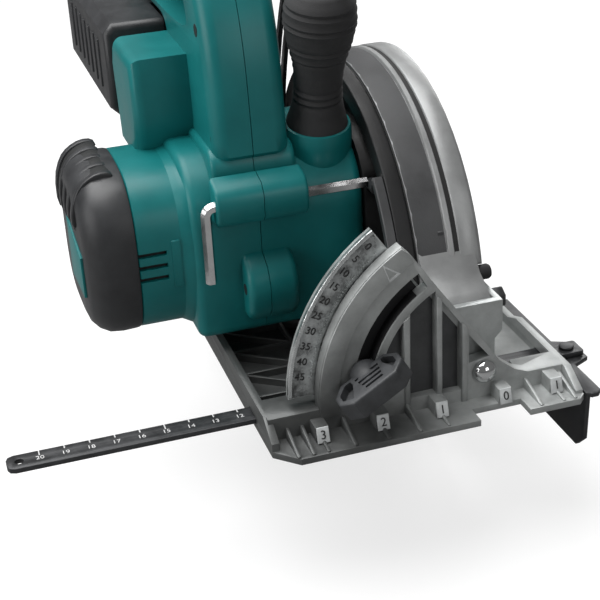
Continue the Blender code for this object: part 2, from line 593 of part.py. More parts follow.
def make_rotor_group():
    shaft = rod("rotor_shaft", "Y", MOTOR, SHAFT_RADIUS, (CAP_END + 3.4, GEAR_SPAN[1] + 0.6), "steel",
                sides=18)
    phase = MOTOR_LEAN + 180.0
    pinion = plate("motor_pinion", "XZ", [
        gear_outline(MOTOR, PINION_TEETH, phase), circle(MOTOR, SHAFT_RADIUS + FIT, 24)],
        (GEAR_SPAN[0] + 0.1, GEAR_SPAN[1] - 0.1), "steel")
    core = turned("rotor_core", "Y", MOTOR, [
        (17.0, -86.0), (17.0, -119.0), (SHAFT_RADIUS + FIT, -119.0), (SHAFT_RADIUS + FIT, -86.0)], "steel")
    fan = turned("cooling_fan", "Y", MOTOR, [
        (9.0, -42.0), (28.0, -44.5), (28.0, -46.5), (9.0, -50.0), (SHAFT_RADIUS + FIT, -50.0),
        (SHAFT_RADIUS + FIT, -42.0)], "black", steps=24)
    for i in range(7):
        lean = 360.0 * i / 7
        tip = at(MOTOR, 27.0, lean)
        foot = at(MOTOR, 10.0, lean + 8)
        side = at(MOTOR, 10.0, lean + 14)
        far = at(MOTOR, 27.0, lean + 3)
        unite(fan, plate(f"fan_blade_{i}", "XZ", [[foot, tip, far, side]], (-52.0, -46.0)))
    return [shaft, pinion, core, fan]


def bearing(name, centre, bore, outer, span):
    return turned(name, "Y", centre, [
        (outer, span[1]), (outer, span[0]), (bore + FIT, span[0]), (bore + FIT, span[1])], "steel", steps=20)


def make_gear_case():
    """Black die-cast case: backing plate of the guard, gear cup and the boss of the spindle bearing."""
    right = GUARD_LEFT - GAP
    backing = plate("gear_case", "XZ", [arc(BLADE, GUARD_RADIUS - 1.5, 2, 186, 30)],
                    (right - 2.6, right), "black")
    cup = plate("gear_cup", "XZ", [housing_outline(0.0)], (HOUSING_RIGHT + GAP, right - 1.5))
    sump = rod("gear_sump", "Y", BLADE, GEAR_RADIUS + 3.1, (HOUSING_RIGHT + GAP, right - 0.6), sides=26)
    cavity = plate("gear_cavity", "XZ", [
        arc(MOTOR, PINION_RADIUS + 1.8, MOTOR_LEAN - 68, MOTOR_LEAN + 68, 10)
        + arc(BLADE, GEAR_RADIUS + 1.6, MOTOR_LEAN + 68, MOTOR_LEAN + 292, 22)],
        (HOUSING_RIGHT - 3, GEAR_SPAN[1] + 0.9))
    boss = rod("gear_case_boss", "Y", BLADE, BOSS_RADIUS, (right - 1.0, -7.6), sides=26)
    unite(backing, cup, sump, boss)
    seat = rod("bearing_seat", "Y", BLADE, 13.0 + FIT, (-17.2, -5.0), sides=20)
    way = rod("spindle_way", "Y", BLADE, SPINDLE_RADIUS + 1.5, (-40, -5), sides=20)
    carve(backing, cavity, seat, way)
    carve(backing, rod("lock_hole", "X", LOCK_AT, LOCK_RADIUS + GAP, (-54.5, -40), sides=16))
    return backing


def housing_outline(inset):
    low = (HOUSING_REAR + inset, HOUSING_BOTTOM + inset)
    high = (HOUSING_FRONT - inset, HOUSING_TOP - inset)
    radii = [max(radius - inset, 0.8) for radius in (14.0, 4.0, 27.0, 24.0)]
    return rounded(low, high, radii, 7)


def handle_outline():
    """Outer edge of the D-shaped handle, seen from the side."""
    return [
        (-49.5, 88.0), (-51.0, 112.0), (-54.0, 138.0), (-62.0, 160.0), (-76.0, 178.0), (-94.0, 188.0),
        (-116.0, 191.0), (-142.0, 187.0), (-168.0, 178.0), (-192.0, 166.0), (-208.0, 153.0),
        (-214.0, 143.0), (-214.0, 133.5), (-126.0, 133.5), (-126.0, 120.0), (-118.0, 86.0)]


def handle_gap():
    return [
        (-82.0, 141.0), (-82.0, 150.0), (-88.0, 158.5), (-98.0, 163.0), (-116.0, 164.5), (-140.0, 161.5),
        (-162.0, 154.5), (-176.0, 148.0), (-180.0, 144.0), (-176.0, 141.0)]


def shell_half(name, side):
    """The solid of one half of the teal case: motor housing, handle, key holder and screw boss."""
    past = PARTING - 6.0 * side
    span = (past, HOUSING_RIGHT) if side > 0 else (HOUSING_LEFT, past)
    shell = plate(name, "XZ", [housing_outline(0.0)], span, "teal")
    thick = (PARTING - HANDLE_HALF_WIDTH, PARTING + HANDLE_HALF_WIDTH)
    unite(shell,
          plate(name + "_handle", "XZ", [handle_outline(), handle_gap()], thick, rounding=3.0),
          key_holder(name + "_holder", (-95.3, -56.5)),
          screw_boss(name + "_boss", (-84.8, -62.8)))
    return shell


def halve(shell, side):
    """Cuts a case half off at the parting plane."""
    edge = PARTING + side * GAP / 2
    span = (-160.0, edge) if side > 0 else (edge, 0.0)
    carve(shell, box(shell.name + "_other_side", (-300, 20), span, (-40, 260)))


def make_right_shell():
    shell = shell_half("right_shell", 1)
    seat = rod("grip_seat", "Z", (0, 0), 12.8, (-16, -1.8), sides=20)
    seat.matrix_world = GRIP_PLACE
    unite(shell, seat, rod("spindle_boss", "Y", BLADE, 13.6, (WEB - 1, HOUSING_RIGHT), sides=26))
    carve(shell, plate("right_inside", "XZ", [housing_outline(HOUSING_WALL)], (-90, WEB)))
    carve(shell, rod("spindle_seat", "Y", BLADE, 11.0 + FIT, (WEB + 0.5, HOUSING_RIGHT + 1), sides=20))
    carve(shell, rod("rotor_seat", "Y", MOTOR, 11.0 + FIT, (WEB + 0.5, HOUSING_RIGHT + 1), sides=20))
    carve(shell, rod("rotor_way", "Y", MOTOR, SHAFT_RADIUS + 1.5, (WEB - 3, HOUSING_RIGHT + 1), sides=18))
    carve_common(shell)
    halve(shell, 1)
    return shell


def key_holder(name, span_y):
    outline = [(HOUSING_FRONT - 2, 72.5), (-39.2, 72.5), (-37.4, 75.0), (-37.4, 84.5), (-40.4, 88.0),
               (HOUSING_FRONT - 2, 89.5)]
    return plate(name, "XZ", [outline], span_y)


def screw_boss(name, span_y):
    outline = [(HOUSING_FRONT - 2, 28.0), (-40.0, 28.0), (-36.2, 33.0), (-36.2, 45.0), (-41.0, 54.0),
               (HOUSING_FRONT - 2, 56.5)]
    return plate(name, "XZ", [outline], span_y)


def carve_common(shell):
    """Ways for the hex key, the shell screws, the trigger, the switch and the lock-off button."""
    carve(shell,
          rod(shell.name + "_key_way", "Y", (KEY_X, KEY_Z), KEY_SIZE / math.sqrt(3) + 0.4, (-110, -50),
              sides=20),
          box(shell.name + "_switch_bay", (-133, -91), (PARTING - 9, PARTING + 9), (166, 184)),
          box(shell.name + "_trigger_way", (-118, -95), (PARTING - 6.3, PARTING + 6.3), (158, 170)),
          rod(shell.name + "_lock_way", "Y", (-84.0, 166.0), 4.0 + GAP, (PARTING - 20, PARTING + 20),
              sides=20))
    for index, (x, z) in enumerate(SCREWS):
        carve(shell, rod(f"{shell.name}_screw_{index}", "Y", (x, z), 1.6 + GAP, (-130, -62), sides=14))


SCREWS = ((-58.0, 104.0), (-66.0, 146.0), (-150.0, 173.0), (-204.0, 142.0))


def make_left_shell():
    shell = shell_half("left_shell", -1)
    flare = plate("battery_flare", "XZ", [[
        (-92.0, 84.0), (-84.0, 104.0), (-88.0, 130.0), (-124.0, 130.0), (-130.0, 120.0), (-124.0, 84.0)]],
        (-116.0, PARTING - 10), rounding=3.0)
    barrel = rod("motor_barrel", "Y", MOTOR, BARREL_RADIUS, (BARREL_END, HOUSING_LEFT + 2), sides=36)
    unite(shell, barrel, flare)
    carve(shell, plate("left_inside", "XZ", [housing_outline(HOUSING_WALL)],
                       (HOUSING_LEFT + HOUSING_WALL, -60)))
    carve(shell, rod("barrel_bore", "Y", MOTOR, BARREL_RADIUS - HOUSING_WALL, (BARREL_END - 2, -90),
                     sides=36))
    for z in (44.0, 51.0, 58.0):
        carve(shell, box(f"vent_{int(z)}", (-60, -44), (BARREL_END + 3, BARREL_END + 14), (z, z + 2.2)))
    carve_common(shell)
    halve(shell, -1)
    return shell


def make_end_cap():
    """Black moulded cap on the motor, with the outer bearing's seat inside."""
    r = BARREL_RADIUS
    near = BARREL_END - GAP
    cap = turned("motor_end_cap", "Y", MOTOR, [
        (0.0, CAP_END + 2.6), (10.0 + FIT, CAP_END + 2.6), (10.0 + FIT, -139.0), (12.5, -139.0),
        (12.5, CAP_END + 4.0), (r - 15, CAP_END + 4.0), (r - 7.5, -141.0), (r - 3.0, -136.0), (r - 3.0, near),
        (r, near), (r, -137.0), (r - 5, -144.0), (r - 13, CAP_END), (0.0, CAP_END)],
        "black", steps=32, ring=False)
    return cap


def make_battery():
    x, y, z = BATTERY_X, BATTERY_Y, BATTERY_Z
    outline = [(y[0], z[0] + 9), (y[0] + 9, z[0]), (y[1] - 9, z[0]), (y[1], z[0] + 9), (y[1], z[1] - 4),
               (y[1] - 4, z[1]), (y[0] + 4, z[1]), (y[0], z[1] - 4)]
    pack = plate("battery_pack", "YZ", [outline], x, "dark", rounding=1.5)
    carve(pack, box("terminal_bay", (-171.0, BATTERY_X[1] + 1), (PARTING - 14, PARTING + 14),
                    (z[1] - 12, z[1] + 2)))
    carve(pack, box("latch_bay", (BATTERY_X[0] - 1, -230), (-92, -68), (116, 128)))
    button = box("battery_latch", (BATTERY_X[0] + 1, -234.3), (-91.7, -68.3), (116.3, 127.7), "red",
                 rounding=1.0)
    return pack, button


def make_terminal_block():
    block = box("terminal_block", (-166, -142), (PARTING - 10, PARTING + 10),
                (BATTERY_Z[1] - 8, BATTERY_Z[1]), "black")
    for i in range(3):
        y = PARTING - 6 + 6 * i
        unite(block, box(f"terminal_blade_{i}", (-168, -143), (y - 0.5, y + 0.5),
                         (BATTERY_Z[1] - 11, BATTERY_Z[1] - 7)))
    return block


def make_trigger_group():
    switch = box("switch_module", (-131, -93), (PARTING - 8, PARTING + 8), (168, 182), "black")
    outline = [(-95.6, 167.4), (-95.6, 158), (-100, 150.5), (-108, 148.5), (-114, 152), (-116.5, 160),
               (-116.5, 164.2)]
    trigger = plate("trigger", "XZ", [outline], (PARTING - 6, PARTING + 6), "black", rounding=1.2)
    lock = rod("lock_off_button", "Y", (-84.0, 166.0), 4.0, (PARTING - 19, PARTING + 19), "black", sides=20)
    return switch, trigger, lock


def make_front_grip():
    """Rubber-covered auxiliary grip on top of the motor case, beside the guard."""
    profile = [(0.0, 62.0), (9.0, 61.0), (13.6, 56.0), (14.8, 48.0), (13.4, 39.0), (10.5, 30.0), (9.8, 18.0),
               (10.8, 8.0), (12.8, 1.0), (12.8, -1.5), (0.0, -1.5)]
    grip = turned("front_grip", "Z", (0.0, 0.0), profile, "rubber", steps=28, ring=False)
    grip.matrix_world = GRIP_PLACE
    return grip


def make_hex_key():
    """Blade key: long arm through the holder, short arm hanging in front of the case."""
    radius = KEY_SIZE / math.sqrt(3)
    curve = bpy.data.curves.new("hex_key_path", "CURVE")
    curve.dimensions = "3D"
    curve.bevel_depth = radius * MM
    curve.bevel_resolution = 1
    curve.use_fill_caps = True
    corner, bend = -99.0, 3.4
    path = [(KEY_X, -30.7, KEY_Z)]
    for i in range(6):
        angle = math.radians(90.0 * i / 5)
        path.append((KEY_X, corner + bend - bend * math.sin(angle), KEY_Z - bend + bend * math.cos(angle)))
    path.append((KEY_X, corner, 48.0))
    spline = curve.splines.new("POLY")
    spline.points.add(len(path) - 1)
    for point, (x, y, z) in zip(spline.points, path):
        point.co = (x * MM, y * MM, z * MM, 1.0)
    return swept("hex_key", curve, "chrome")


def make_depth_lock():
    boss_face = GUARD_LEFT - GAP - 2.6
    bolt = rod("depth_lock_bolt", "Y", LEVER, DEPTH_BOLT_RADIUS, (-38.0, boss_face - GAP), "steel", sides=20)
    unite(bolt, rod("depth_lock_collar", "Y", LEVER, 5.5, (GUIDE_SPAN[1] + GAP, boss_face - GAP), sides=20))
    lever = rod("depth_lever", "Y", LEVER, 7.0, (-37.0, GUIDE_SPAN[0] - GAP), "black", sides=18)
    arm = plate("depth_lever_arm", "XZ", [[
        (LEVER[0] - 5, LEVER[1]), (LEVER[0] + 5, LEVER[1]), (LEVER[0] + 7, LEVER[1] + 34),
        (LEVER[0] + 2, LEVER[1] + 40), (LEVER[0] - 4, LEVER[1] + 38)]], (-37.0, -32.0), rounding=1.0)
    unite(lever, arm)
    carve(lever, rod("lever_bore", "Y", LEVER, DEPTH_BOLT_RADIUS + FIT, (-40, -26), sides=20))
    return bolt, lever


def make_stator():
    outer = BARREL_RADIUS - HOUSING_WALL - GAP
    core = turned("stator", "Y", MOTOR, [
        (outer, -84.0), (outer, -121.0), (18.0, -121.0), (18.0, -84.0)], "copper", steps=36)
    return core


def make_screws():
    pieces = []
    for index, (x, z) in enumerate(SCREWS):
        name = f"shell_screw_{index + 1}"
        screw = rod(name, "Y", (x, z), 1.6, (PARTING - 14.0, PARTING + 12.5), "steel", sides=12)
        pieces.append(screw)
    return pieces


def make_guard_spring():
    """Coil that turns the lower guard shut, wound round its hub."""
    curve = bpy.data.curves.new("guard_spring_path", "CURVE")
    curve.dimensions = "3D"
    curve.bevel_depth = 0.7 * MM
    curve.bevel_resolution = 0
    curve.use_fill_caps = True
    spline = curve.splines.new("POLY")
    turns, per_turn = 3, 18
    spline.points.add(turns * per_turn)
    for i, point in enumerate(spline.points):
        x, z = at(BLADE, 23.0, 360.0 * i / per_turn)
        y = -15.5 + 6.0 * i / (turns * per_turn)
        point.co = (x * MM, y * MM, z * MM, 1.0)
    return swept("guard_spring", curve, "steel")


def swept(name, curve, finish):
    """Makes a solid of a bevelled path."""
    path = bpy.data.objects.new(name + "_path", curve)
    bpy.context.scene.collection.objects.link(path)
    graph = bpy.context.evaluated_depsgraph_get()
    mesh = bpy.data.meshes.new_from_object(path.evaluated_get(graph))
    bpy.data.objects.remove(path, do_unlink=True)
    bm = bmesh.new()
    bm.from_mesh(mesh)
    bpy.data.meshes.remove(mesh)
    bmesh.ops.remove_doubles(bm, verts=bm.verts, dist=0.00001)
    return from_bmesh(name, bm, finish)


def make_spindle_lock():
    """Push button in the front of the gear case."""
    return rod("spindle_lock_button", "X", LOCK_AT, LOCK_RADIUS, (-51.5, -43.3), "dark", sides=16)


def make_bumper():
    at_nose = (-12.5, 45.2)
    return rod("guard_bumper", "Y", at_nose, 3.2, (5.0 + GAP, 11.5), "rubber", sides=20)


make_shoe()
rivet("front_pivot_rivet", (TILT_PLATE_SPAN[0] - 2.0, QUADRANT_FRONT + 1), QUADRANT_FRONT + GAP, 1)
rivet("rear_pivot_rivet", (REAR_PLATE_SPAN[0] - 1, REAR_LUG[1] + 1.5), REAR_PLATE_SPAN[0] - GAP, -1)
pivot("rip_guide_slide", (BAR_X, BAR_RIGHT, BAR_Z[0]), make_rip_guide())
pivot("guide_clamp_axis", (BAR_X, -45, BAR_Z[1]), [make_clamp_screw()])

bevel_bolt, bevel_knob = make_bevel_lock()
tilt_pieces = [make_tilt_bracket(), make_rear_bracket(), make_depth_guide(), bevel_bolt, *make_depth_pivot()]
pivot("tilt_axis", (0, TILT_Y, TILT_Z), tilt_pieces)
pivot("bevel_knob_axis", (QUADRANT_FRONT, KNOB[0], KNOB[1]), [bevel_knob])

depth_bolt, depth_lever = make_depth_lock()
battery, latch = make_battery()
switch_module, trigger, lock_off = make_trigger_group()
body_pieces = [
    make_upper_guard(), make_gear_case(), make_right_shell(), make_left_shell(), make_end_cap(),
    make_stator(), make_front_grip(), make_terminal_block(), switch_module, depth_bolt, make_bumper(),
    make_guard_spring(),
    bearing("spindle_front_bearing", BLADE, SPINDLE_RADIUS, 13.0, (-16.8, -8.0)),
    bearing("spindle_rear_bearing", BLADE, SPINDLE_RADIUS, 11.0, BEARING_SPAN),
    bearing("rotor_drive_bearing", MOTOR, SHAFT_RADIUS, 11.0, BEARING_SPAN),
    bearing("rotor_end_bearing", MOTOR, SHAFT_RADIUS, 10.0, (CAP_END + 3.0, -139.4)),
    *make_screws()]
pivot("depth_axis", (DEPTH_X, 0, DEPTH_Z), body_pieces)
pivot("blade_axis", (BLADE_X, 0, BLADE_Z), make_spindle_group())
pivot("rotor_axis", (MOTOR_X, 0, MOTOR_Z), make_rotor_group())
pivot("lower_guard_axis", (BLADE_X, 0, BLADE_Z), [make_lower_guard()])
pivot("depth_lever_axis", (LEVER[0], 0, LEVER[1]), [depth_lever])
pivot("trigger_axis", (-96.5, PARTING, 166), [trigger])
pivot("lock_off_axis", (-84, PARTING, 166), [lock_off])
pivot("battery_axis", (BATTERY_X[0], PARTING, BATTERY_Z[1]), [battery])
pivot("spindle_lock_axis", (-43.3, LOCK_AT[0], LOCK_AT[1]), [make_spindle_lock()])
pivot("latch_axis", (BATTERY_X[0], PARTING, 122), [latch])
pivot("hex_key_axis", (KEY_X, PARTING, KEY_Z), [make_hex_key()])
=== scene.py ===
import math

import bmesh
import bpy
from mathutils import Matrix, Vector


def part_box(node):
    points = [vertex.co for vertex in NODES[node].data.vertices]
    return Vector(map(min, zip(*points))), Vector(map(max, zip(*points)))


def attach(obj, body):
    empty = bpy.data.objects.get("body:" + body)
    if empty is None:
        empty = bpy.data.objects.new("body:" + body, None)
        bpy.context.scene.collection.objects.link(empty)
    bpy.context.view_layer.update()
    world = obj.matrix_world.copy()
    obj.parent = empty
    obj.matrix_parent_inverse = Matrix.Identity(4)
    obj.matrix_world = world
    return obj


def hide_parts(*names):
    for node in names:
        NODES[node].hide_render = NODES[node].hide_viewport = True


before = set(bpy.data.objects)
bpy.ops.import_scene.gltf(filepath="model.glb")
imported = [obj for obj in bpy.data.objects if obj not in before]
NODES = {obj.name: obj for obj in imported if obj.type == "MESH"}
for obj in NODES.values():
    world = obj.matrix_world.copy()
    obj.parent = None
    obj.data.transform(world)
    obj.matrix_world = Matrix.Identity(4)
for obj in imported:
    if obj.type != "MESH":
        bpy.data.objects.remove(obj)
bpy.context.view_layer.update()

MM = 0.001

# ---------------------------------------------------------------------------------------------
# The stage: a plain pale floor under the saw, a white surround, the camera, a large softbox
# overhead, and three weaker ones at the motor side, at the back and in front.
stage = bpy.context.scene
stage.view_settings.view_transform = "Standard"

camera_data = bpy.data.cameras.new("camera")
SENSOR_WIDTH, FRAME_WIDTH, FOCAL_LENGTH = 36.0, 600.0, 1379.74
camera_data.sensor_width = SENSOR_WIDTH
camera_data.lens = FOCAL_LENGTH * SENSOR_WIDTH / FRAME_WIDTH
camera_data.clip_start = 0.01
camera = bpy.data.objects.new("camera", camera_data)
stage.collection.objects.link(camera)
right = Vector((0.3045436, 0.95127503, -0.04825986))
down = Vector((0.4172171, -0.17877347, -0.89104991))
ahead = Vector((-0.85626111, 0.25122871, -0.45133252))
place = Matrix((right, -down, -ahead)).transposed().to_4x4()
place.translation = Vector((454.81, -207.47, 294.30)) * MM
camera.matrix_world = place
stage.camera = camera

world = bpy.data.worlds.new("surround")
world.use_nodes = True
sky = world.node_tree
backdrop = sky.nodes["Background"]
backdrop.inputs["Color"].default_value = (1.0, 1.0, 1.0, 1.0)
seen = sky.nodes.new("ShaderNodeLightPath")
strength = sky.nodes.new("ShaderNodeMapRange")
strength.inputs["To Min"].default_value = 0.17
strength.inputs["To Max"].default_value = 1.0
sky.links.new(seen.outputs["Is Camera Ray"], strength.inputs["Value"])
sky.links.new(strength.outputs["Result"], backdrop.inputs["Strength"])
stage.world = world

floor_mesh = bpy.data.meshes.new("floor")
FLOOR_Z, FLOOR_HALF = -0.0605, 4
corners = [(u * FLOOR_HALF, v * FLOOR_HALF, FLOOR_Z) for u, v in ((-1, -1), (1, -1), (1, 1), (-1, 1))]
floor_mesh.from_pydata(corners, [], [(0, 1, 2, 3)])
floor = bpy.data.objects.new("floor", floor_mesh)
stage.collection.objects.link(floor)
paper = bpy.data.materials.new("floor_paper")
paper.use_nodes = True
paper_tree = paper.node_tree
paper_shader = paper_tree.nodes["Principled BSDF"]
paper_shader.inputs["Roughness"].default_value = 0.9
paper_seen = paper_tree.nodes.new("ShaderNodeLightPath")
paper_tone = paper_tree.nodes.new("ShaderNodeMix")
paper_tone.data_type = "RGBA"
paper_tone.inputs["A"].default_value = (0.22, 0.22, 0.22, 1.0)
paper_tone.inputs["B"].default_value = (0.30, 0.30, 0.30, 1.0)
paper_shader.inputs["Emission Color"].default_value = (1.0, 1.0, 1.0, 1.0)
paper_glow = paper_tree.nodes.new("ShaderNodeMath")
paper_glow.operation = "MULTIPLY"
paper_glow.inputs[1].default_value = 0.72
paper_tree.links.new(paper_seen.outputs["Is Camera Ray"], paper_glow.inputs[0])
paper_tree.links.new(paper_glow.outputs["Value"], paper_shader.inputs["Emission Strength"])
paper_tree.links.new(paper_seen.outputs["Is Camera Ray"], paper_tone.inputs["Factor"])
paper_tree.links.new(paper_tone.outputs["Result"], paper_shader.inputs["Base Color"])
floor_mesh.materials.append(paper)


def softbox(name, position, target, size, power):
    """A rectangular area light that faces a point."""
    light = bpy.data.lights.new(name, "AREA")
    light.shape = "RECTANGLE"
    light.size, light.size_y = size
    light.energy = power
    lamp = bpy.data.objects.new(name, light)
    lamp.location = position
    aim = Vector(target) - Vector(position)
    lamp.rotation_euler = aim.to_track_quat("-Z", "Y").to_euler()
    stage.collection.objects.link(lamp)


softbox("overhead", (-0.25, -0.35, 1.05), (-0.05, -0.05, 0.0), (1.1, 1.1), 21.0)
softbox("side", (0.15, -1.1, 0.35), (-0.08, -0.05, 0.05), (0.7, 0.5), 4.0)
softbox("back", (-0.9, 0.7, 0.5), (-0.1, 0.0, 0.08), (0.6, 0.6), 4.0)
softbox("front", (1.2, 0.35, 0.55), (0.0, 0.0, 0.02), (0.5, 0.5), 2.4)

# ---------------------------------------------------------------------------------------------
# The shoe: one aluminium die casting with a raised quadrant, tumbled and left bare. Its ribs
# taper towards the front edge and its numbered labels are small flat tiles cast on the ribs.


def finish_tree(name, colour, roughness, metallic=0.0):
    """A shader and its tree, ready for a surface pattern."""
    material = bpy.data.materials.new(name)
    material.use_nodes = True
    tree = material.node_tree
    shader = tree.nodes["Principled BSDF"]
    shader.inputs["Base Color"].default_value = (*colour, 1.0)
    shader.inputs["Roughness"].default_value = roughness
    shader.inputs["Metallic"].default_value = metallic
    return material, tree, shader


def surface(name, colour, roughness, metallic=0.0, dark=0.75, bright=1.15, blotch=60.0, grain=1400.0,
            relief=0.12, wear=0.1, scratch=0.0, coat=0.0, depth=0.0004):
    """A worked surface: broad blotches of tone, fine grain in the relief, uneven gloss."""
    material, tree, shader = finish_tree(name, colour, roughness, metallic)
    nodes, links = tree.nodes, tree.links
    where = nodes.new("ShaderNodeTexCoord")
    broad = nodes.new("ShaderNodeTexNoise")
    broad.inputs["Scale"].default_value = blotch
    broad.inputs["Detail"].default_value = 6.0
    broad.inputs["Roughness"].default_value = 0.62
    links.new(where.outputs["Object"], broad.inputs["Vector"])
    tone = nodes.new("ShaderNodeValToRGB")
    tone.color_ramp.elements[0].position = 0.32
    tone.color_ramp.elements[0].color = (*[c * dark for c in colour], 1.0)
    tone.color_ramp.elements[1].position = 0.70
    tone.color_ramp.elements[1].color = (*[min(c * bright, 1.0) for c in colour], 1.0)
    links.new(broad.outputs["Fac"], tone.inputs["Fac"])
    fine = nodes.new("ShaderNodeTexNoise")
    fine.inputs["Scale"].default_value = grain
    fine.inputs["Detail"].default_value = 3.0
    links.new(where.outputs["Object"], fine.inputs["Vector"])
    gloss = nodes.new("ShaderNodeMapRange")
    gloss.inputs["From Min"].default_value = 0.3
    gloss.inputs["From Max"].default_value = 0.7
    gloss.inputs["To Min"].default_value = max(roughness - wear, 0.03)
    gloss.inputs["To Max"].default_value = min(roughness + wear, 1.0)
    links.new(broad.outputs["Fac"], gloss.inputs["Value"])
    links.new(gloss.outputs["Result"], shader.inputs["Roughness"])
    bump = nodes.new("ShaderNodeBump")
    bump.inputs["Strength"].default_value = relief
    bump.inputs["Distance"].default_value = depth
    links.new(fine.outputs["Fac"], bump.inputs["Height"])
    links.new(bump.outputs["Normal"], shader.inputs["Normal"])
    source = tone.outputs["Color"]
    if scratch > 0:
        lines = nodes.new("ShaderNodeMapping")
        lines.inputs["Scale"].default_value = (30.0, 900.0, 900.0)
        links.new(where.outputs["Object"], lines.inputs["Vector"])
        hair = nodes.new("ShaderNodeTexNoise")
        hair.inputs["Scale"].default_value = 1.0
        hair.inputs["Detail"].default_value = 2.0
        links.new(lines.outputs["Vector"], hair.inputs["Vector"])
        blend = nodes.new("ShaderNodeMix")
        blend.data_type = "RGBA"
        blend.blend_type = "OVERLAY"
        blend.inputs["Factor"].default_value = scratch
        links.new(source, blend.inputs["A"])
        links.new(hair.outputs["Fac"], blend.inputs["B"])
        source = blend.outputs["Result"]
    links.new(source, shader.inputs["Base Color"])
    if coat > 0:
        shader.inputs["Coat Weight"].default_value = coat
        shader.inputs["Coat Roughness"].default_value = 0.25
    return material


def clean(mesh):
    """Merges doubles and turns every face of a mesh outwards."""
    bm = bmesh.new()
    bm.from_mesh(mesh)
    bmesh.ops.remove_doubles(bm, verts=bm.verts, dist=0.000002)
    bmesh.ops.recalc_face_normals(bm, faces=bm.faces)
    bm.to_mesh(mesh)
    bm.free()
    return mesh


def baked(obj):
    """The plain mesh of an object with its modifiers applied; the object is removed."""
    graph = bpy.context.evaluated_depsgraph_get()
    mesh = bpy.data.meshes.new_from_object(obj.evaluated_get(graph))
    mesh.transform(obj.matrix_world)
    bpy.data.objects.remove(obj, do_unlink=True)
    return mesh


def loose(mesh, name="work"):
    obj = bpy.data.objects.new(name, mesh)
    stage.collection.objects.link(obj)
    return obj


def rounded_edges(mesh, width, angle=32.0, segments=2):
    """Breaks the sharp edges of a mesh with a small radius, in millimetres."""
    obj = loose(mesh)
    bevel = obj.modifiers.new("edges", "BEVEL")
    bevel.width = width * MM
    bevel.segments = segments
    bevel.limit_method = "ANGLE"
    bevel.angle_limit = math.radians(angle)
    bevel.harden_normals = False
    return baked(obj)


def from_node(node, width=0.4, angle=32.0, segments=2):
    """A finer copy of a CAD node: flat faces rejoined and edges broken."""
    bm = bmesh.new()
    bm.from_mesh(NODES[node].data)
    bmesh.ops.remove_doubles(bm, verts=bm.verts, dist=0.000002)
    bmesh.ops.dissolve_limit(bm, angle_limit=math.radians(0.5), verts=bm.verts, edges=bm.edges)
    mesh = bpy.data.meshes.new(node)
    bm.to_mesh(mesh)
    bm.free()
    return rounded_edges(mesh, width, angle, segments) if width else mesh


PLANES = {
    "XZ": Matrix(((1, 0, 0, 0), (0, 0, -1, 0), (0, 1, 0, 0), (0, 0, 0, 1))),
    "YZ": Matrix(((0, 0, 1, 0), (1, 0, 0, 0), (0, 1, 0, 0), (0, 0, 0, 1))),
    "XY": Matrix.Identity(4),
}
NORMALS = {"XZ": Vector((0, 1, 0)), "YZ": Vector((1, 0, 0)), "XY": Vector((0, 0, 1))}


def slab(plane, loops, span, bevel=0.3, steps=2):
    """A flat outline, with holes, made thick between two planes, its rims rounded."""
    curve = bpy.data.curves.new("outline", "CURVE")
    curve.dimensions = "2D"
    curve.fill_mode = "BOTH"
    curve.extrude = max((span[1] - span[0]) / 2 - bevel, 0.01) * MM
    curve.bevel_depth = bevel * MM
    curve.bevel_resolution = steps
    curve.offset = -bevel * MM
    for loop in loops:
        spline = curve.splines.new("POLY")
        spline.points.add(len(loop) - 1)
        for point, (u, v) in zip(spline.points, loop):
            point.co = (u * MM, v * MM, 0.0, 1.0)
        spline.use_cyclic_u = True
    mesh = baked(loose(curve))
    mesh.transform(Matrix.Translation(NORMALS[plane] * (span[0] + span[1]) * MM / 2) @ PLANES[plane])
    return clean(mesh)


def piece(name, parts, material, body, stands_for=(), sharp=35.0):
    """Joins meshes into one finished piece, smooth shaded, that rides on a body."""
    bm = bmesh.new()
    for part in parts:
        bm.from_mesh(part)
    mesh = bpy.data.meshes.new(name)
    bm.to_mesh(mesh)
    bm.free()
    mesh.materials.clear()
    mesh.materials.append(material)
    for face in mesh.polygons:
        face.material_index = 0
        face.use_smooth = True
    mesh.set_sharp_from_angle(angle=math.radians(sharp))
    obj = bpy.data.objects.new(name, mesh)
    stage.collection.objects.link(obj)
    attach(obj, body)
    if stands_for:
        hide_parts(*stands_for)
    return obj


def arc(centre, radius, start, end, count):
    angles = [math.radians(start + (end - start) * i / (count - 1)) for i in range(count)]
    return [(centre[0] + radius * math.cos(a), centre[1] + radius * math.sin(a)) for a in angles]


def sector(centre, inner, outer, start, end, count):
    return arc(centre, outer, start, end, count) + arc(centre, inner, end, start, count)


def block(x, y, z, bevel=0.3, steps=2):
    """A rounded block between limits."""
    return slab("XY", [[(x[0], y[0]), (x[1], y[0]), (x[1], y[1]), (x[0], y[1])]], z, bevel, steps)


def lettering(text, size, height, frame_matrix):
    """Raised figures, their middle at the frame's origin and facing its Z."""
    words = bpy.data.curves.new("figures", "FONT")
    words.body = text
    words.size = size * MM
    words.extrude = height * MM / 2
    words.align_x = "CENTER"
    words.align_y = "CENTER"
    mesh = baked(loose(words))
    mesh.transform(frame_matrix)
    return clean(mesh)


def facing(origin, across, up):
    """A frame at a point, X along across and Y along up, in millimetres."""
    x, y = Vector(across).normalized(), Vector(up).normalized()
    z = x.cross(y)
    matrix = Matrix((x, y, z)).transposed().to_4x4()
    matrix.translation = Vector(origin) * MM
    return matrix


TILT = (-2.5, 14.7)
PLATE_FRONT = 13.5

cast_grey = surface("cast_aluminium_shoe", (0.40, 0.415, 0.41), 0.42, 0.42, dark=0.82, bright=1.18,
                    blotch=90.0, grain=2300.0, relief=0.20, wear=0.08, depth=0.0003)


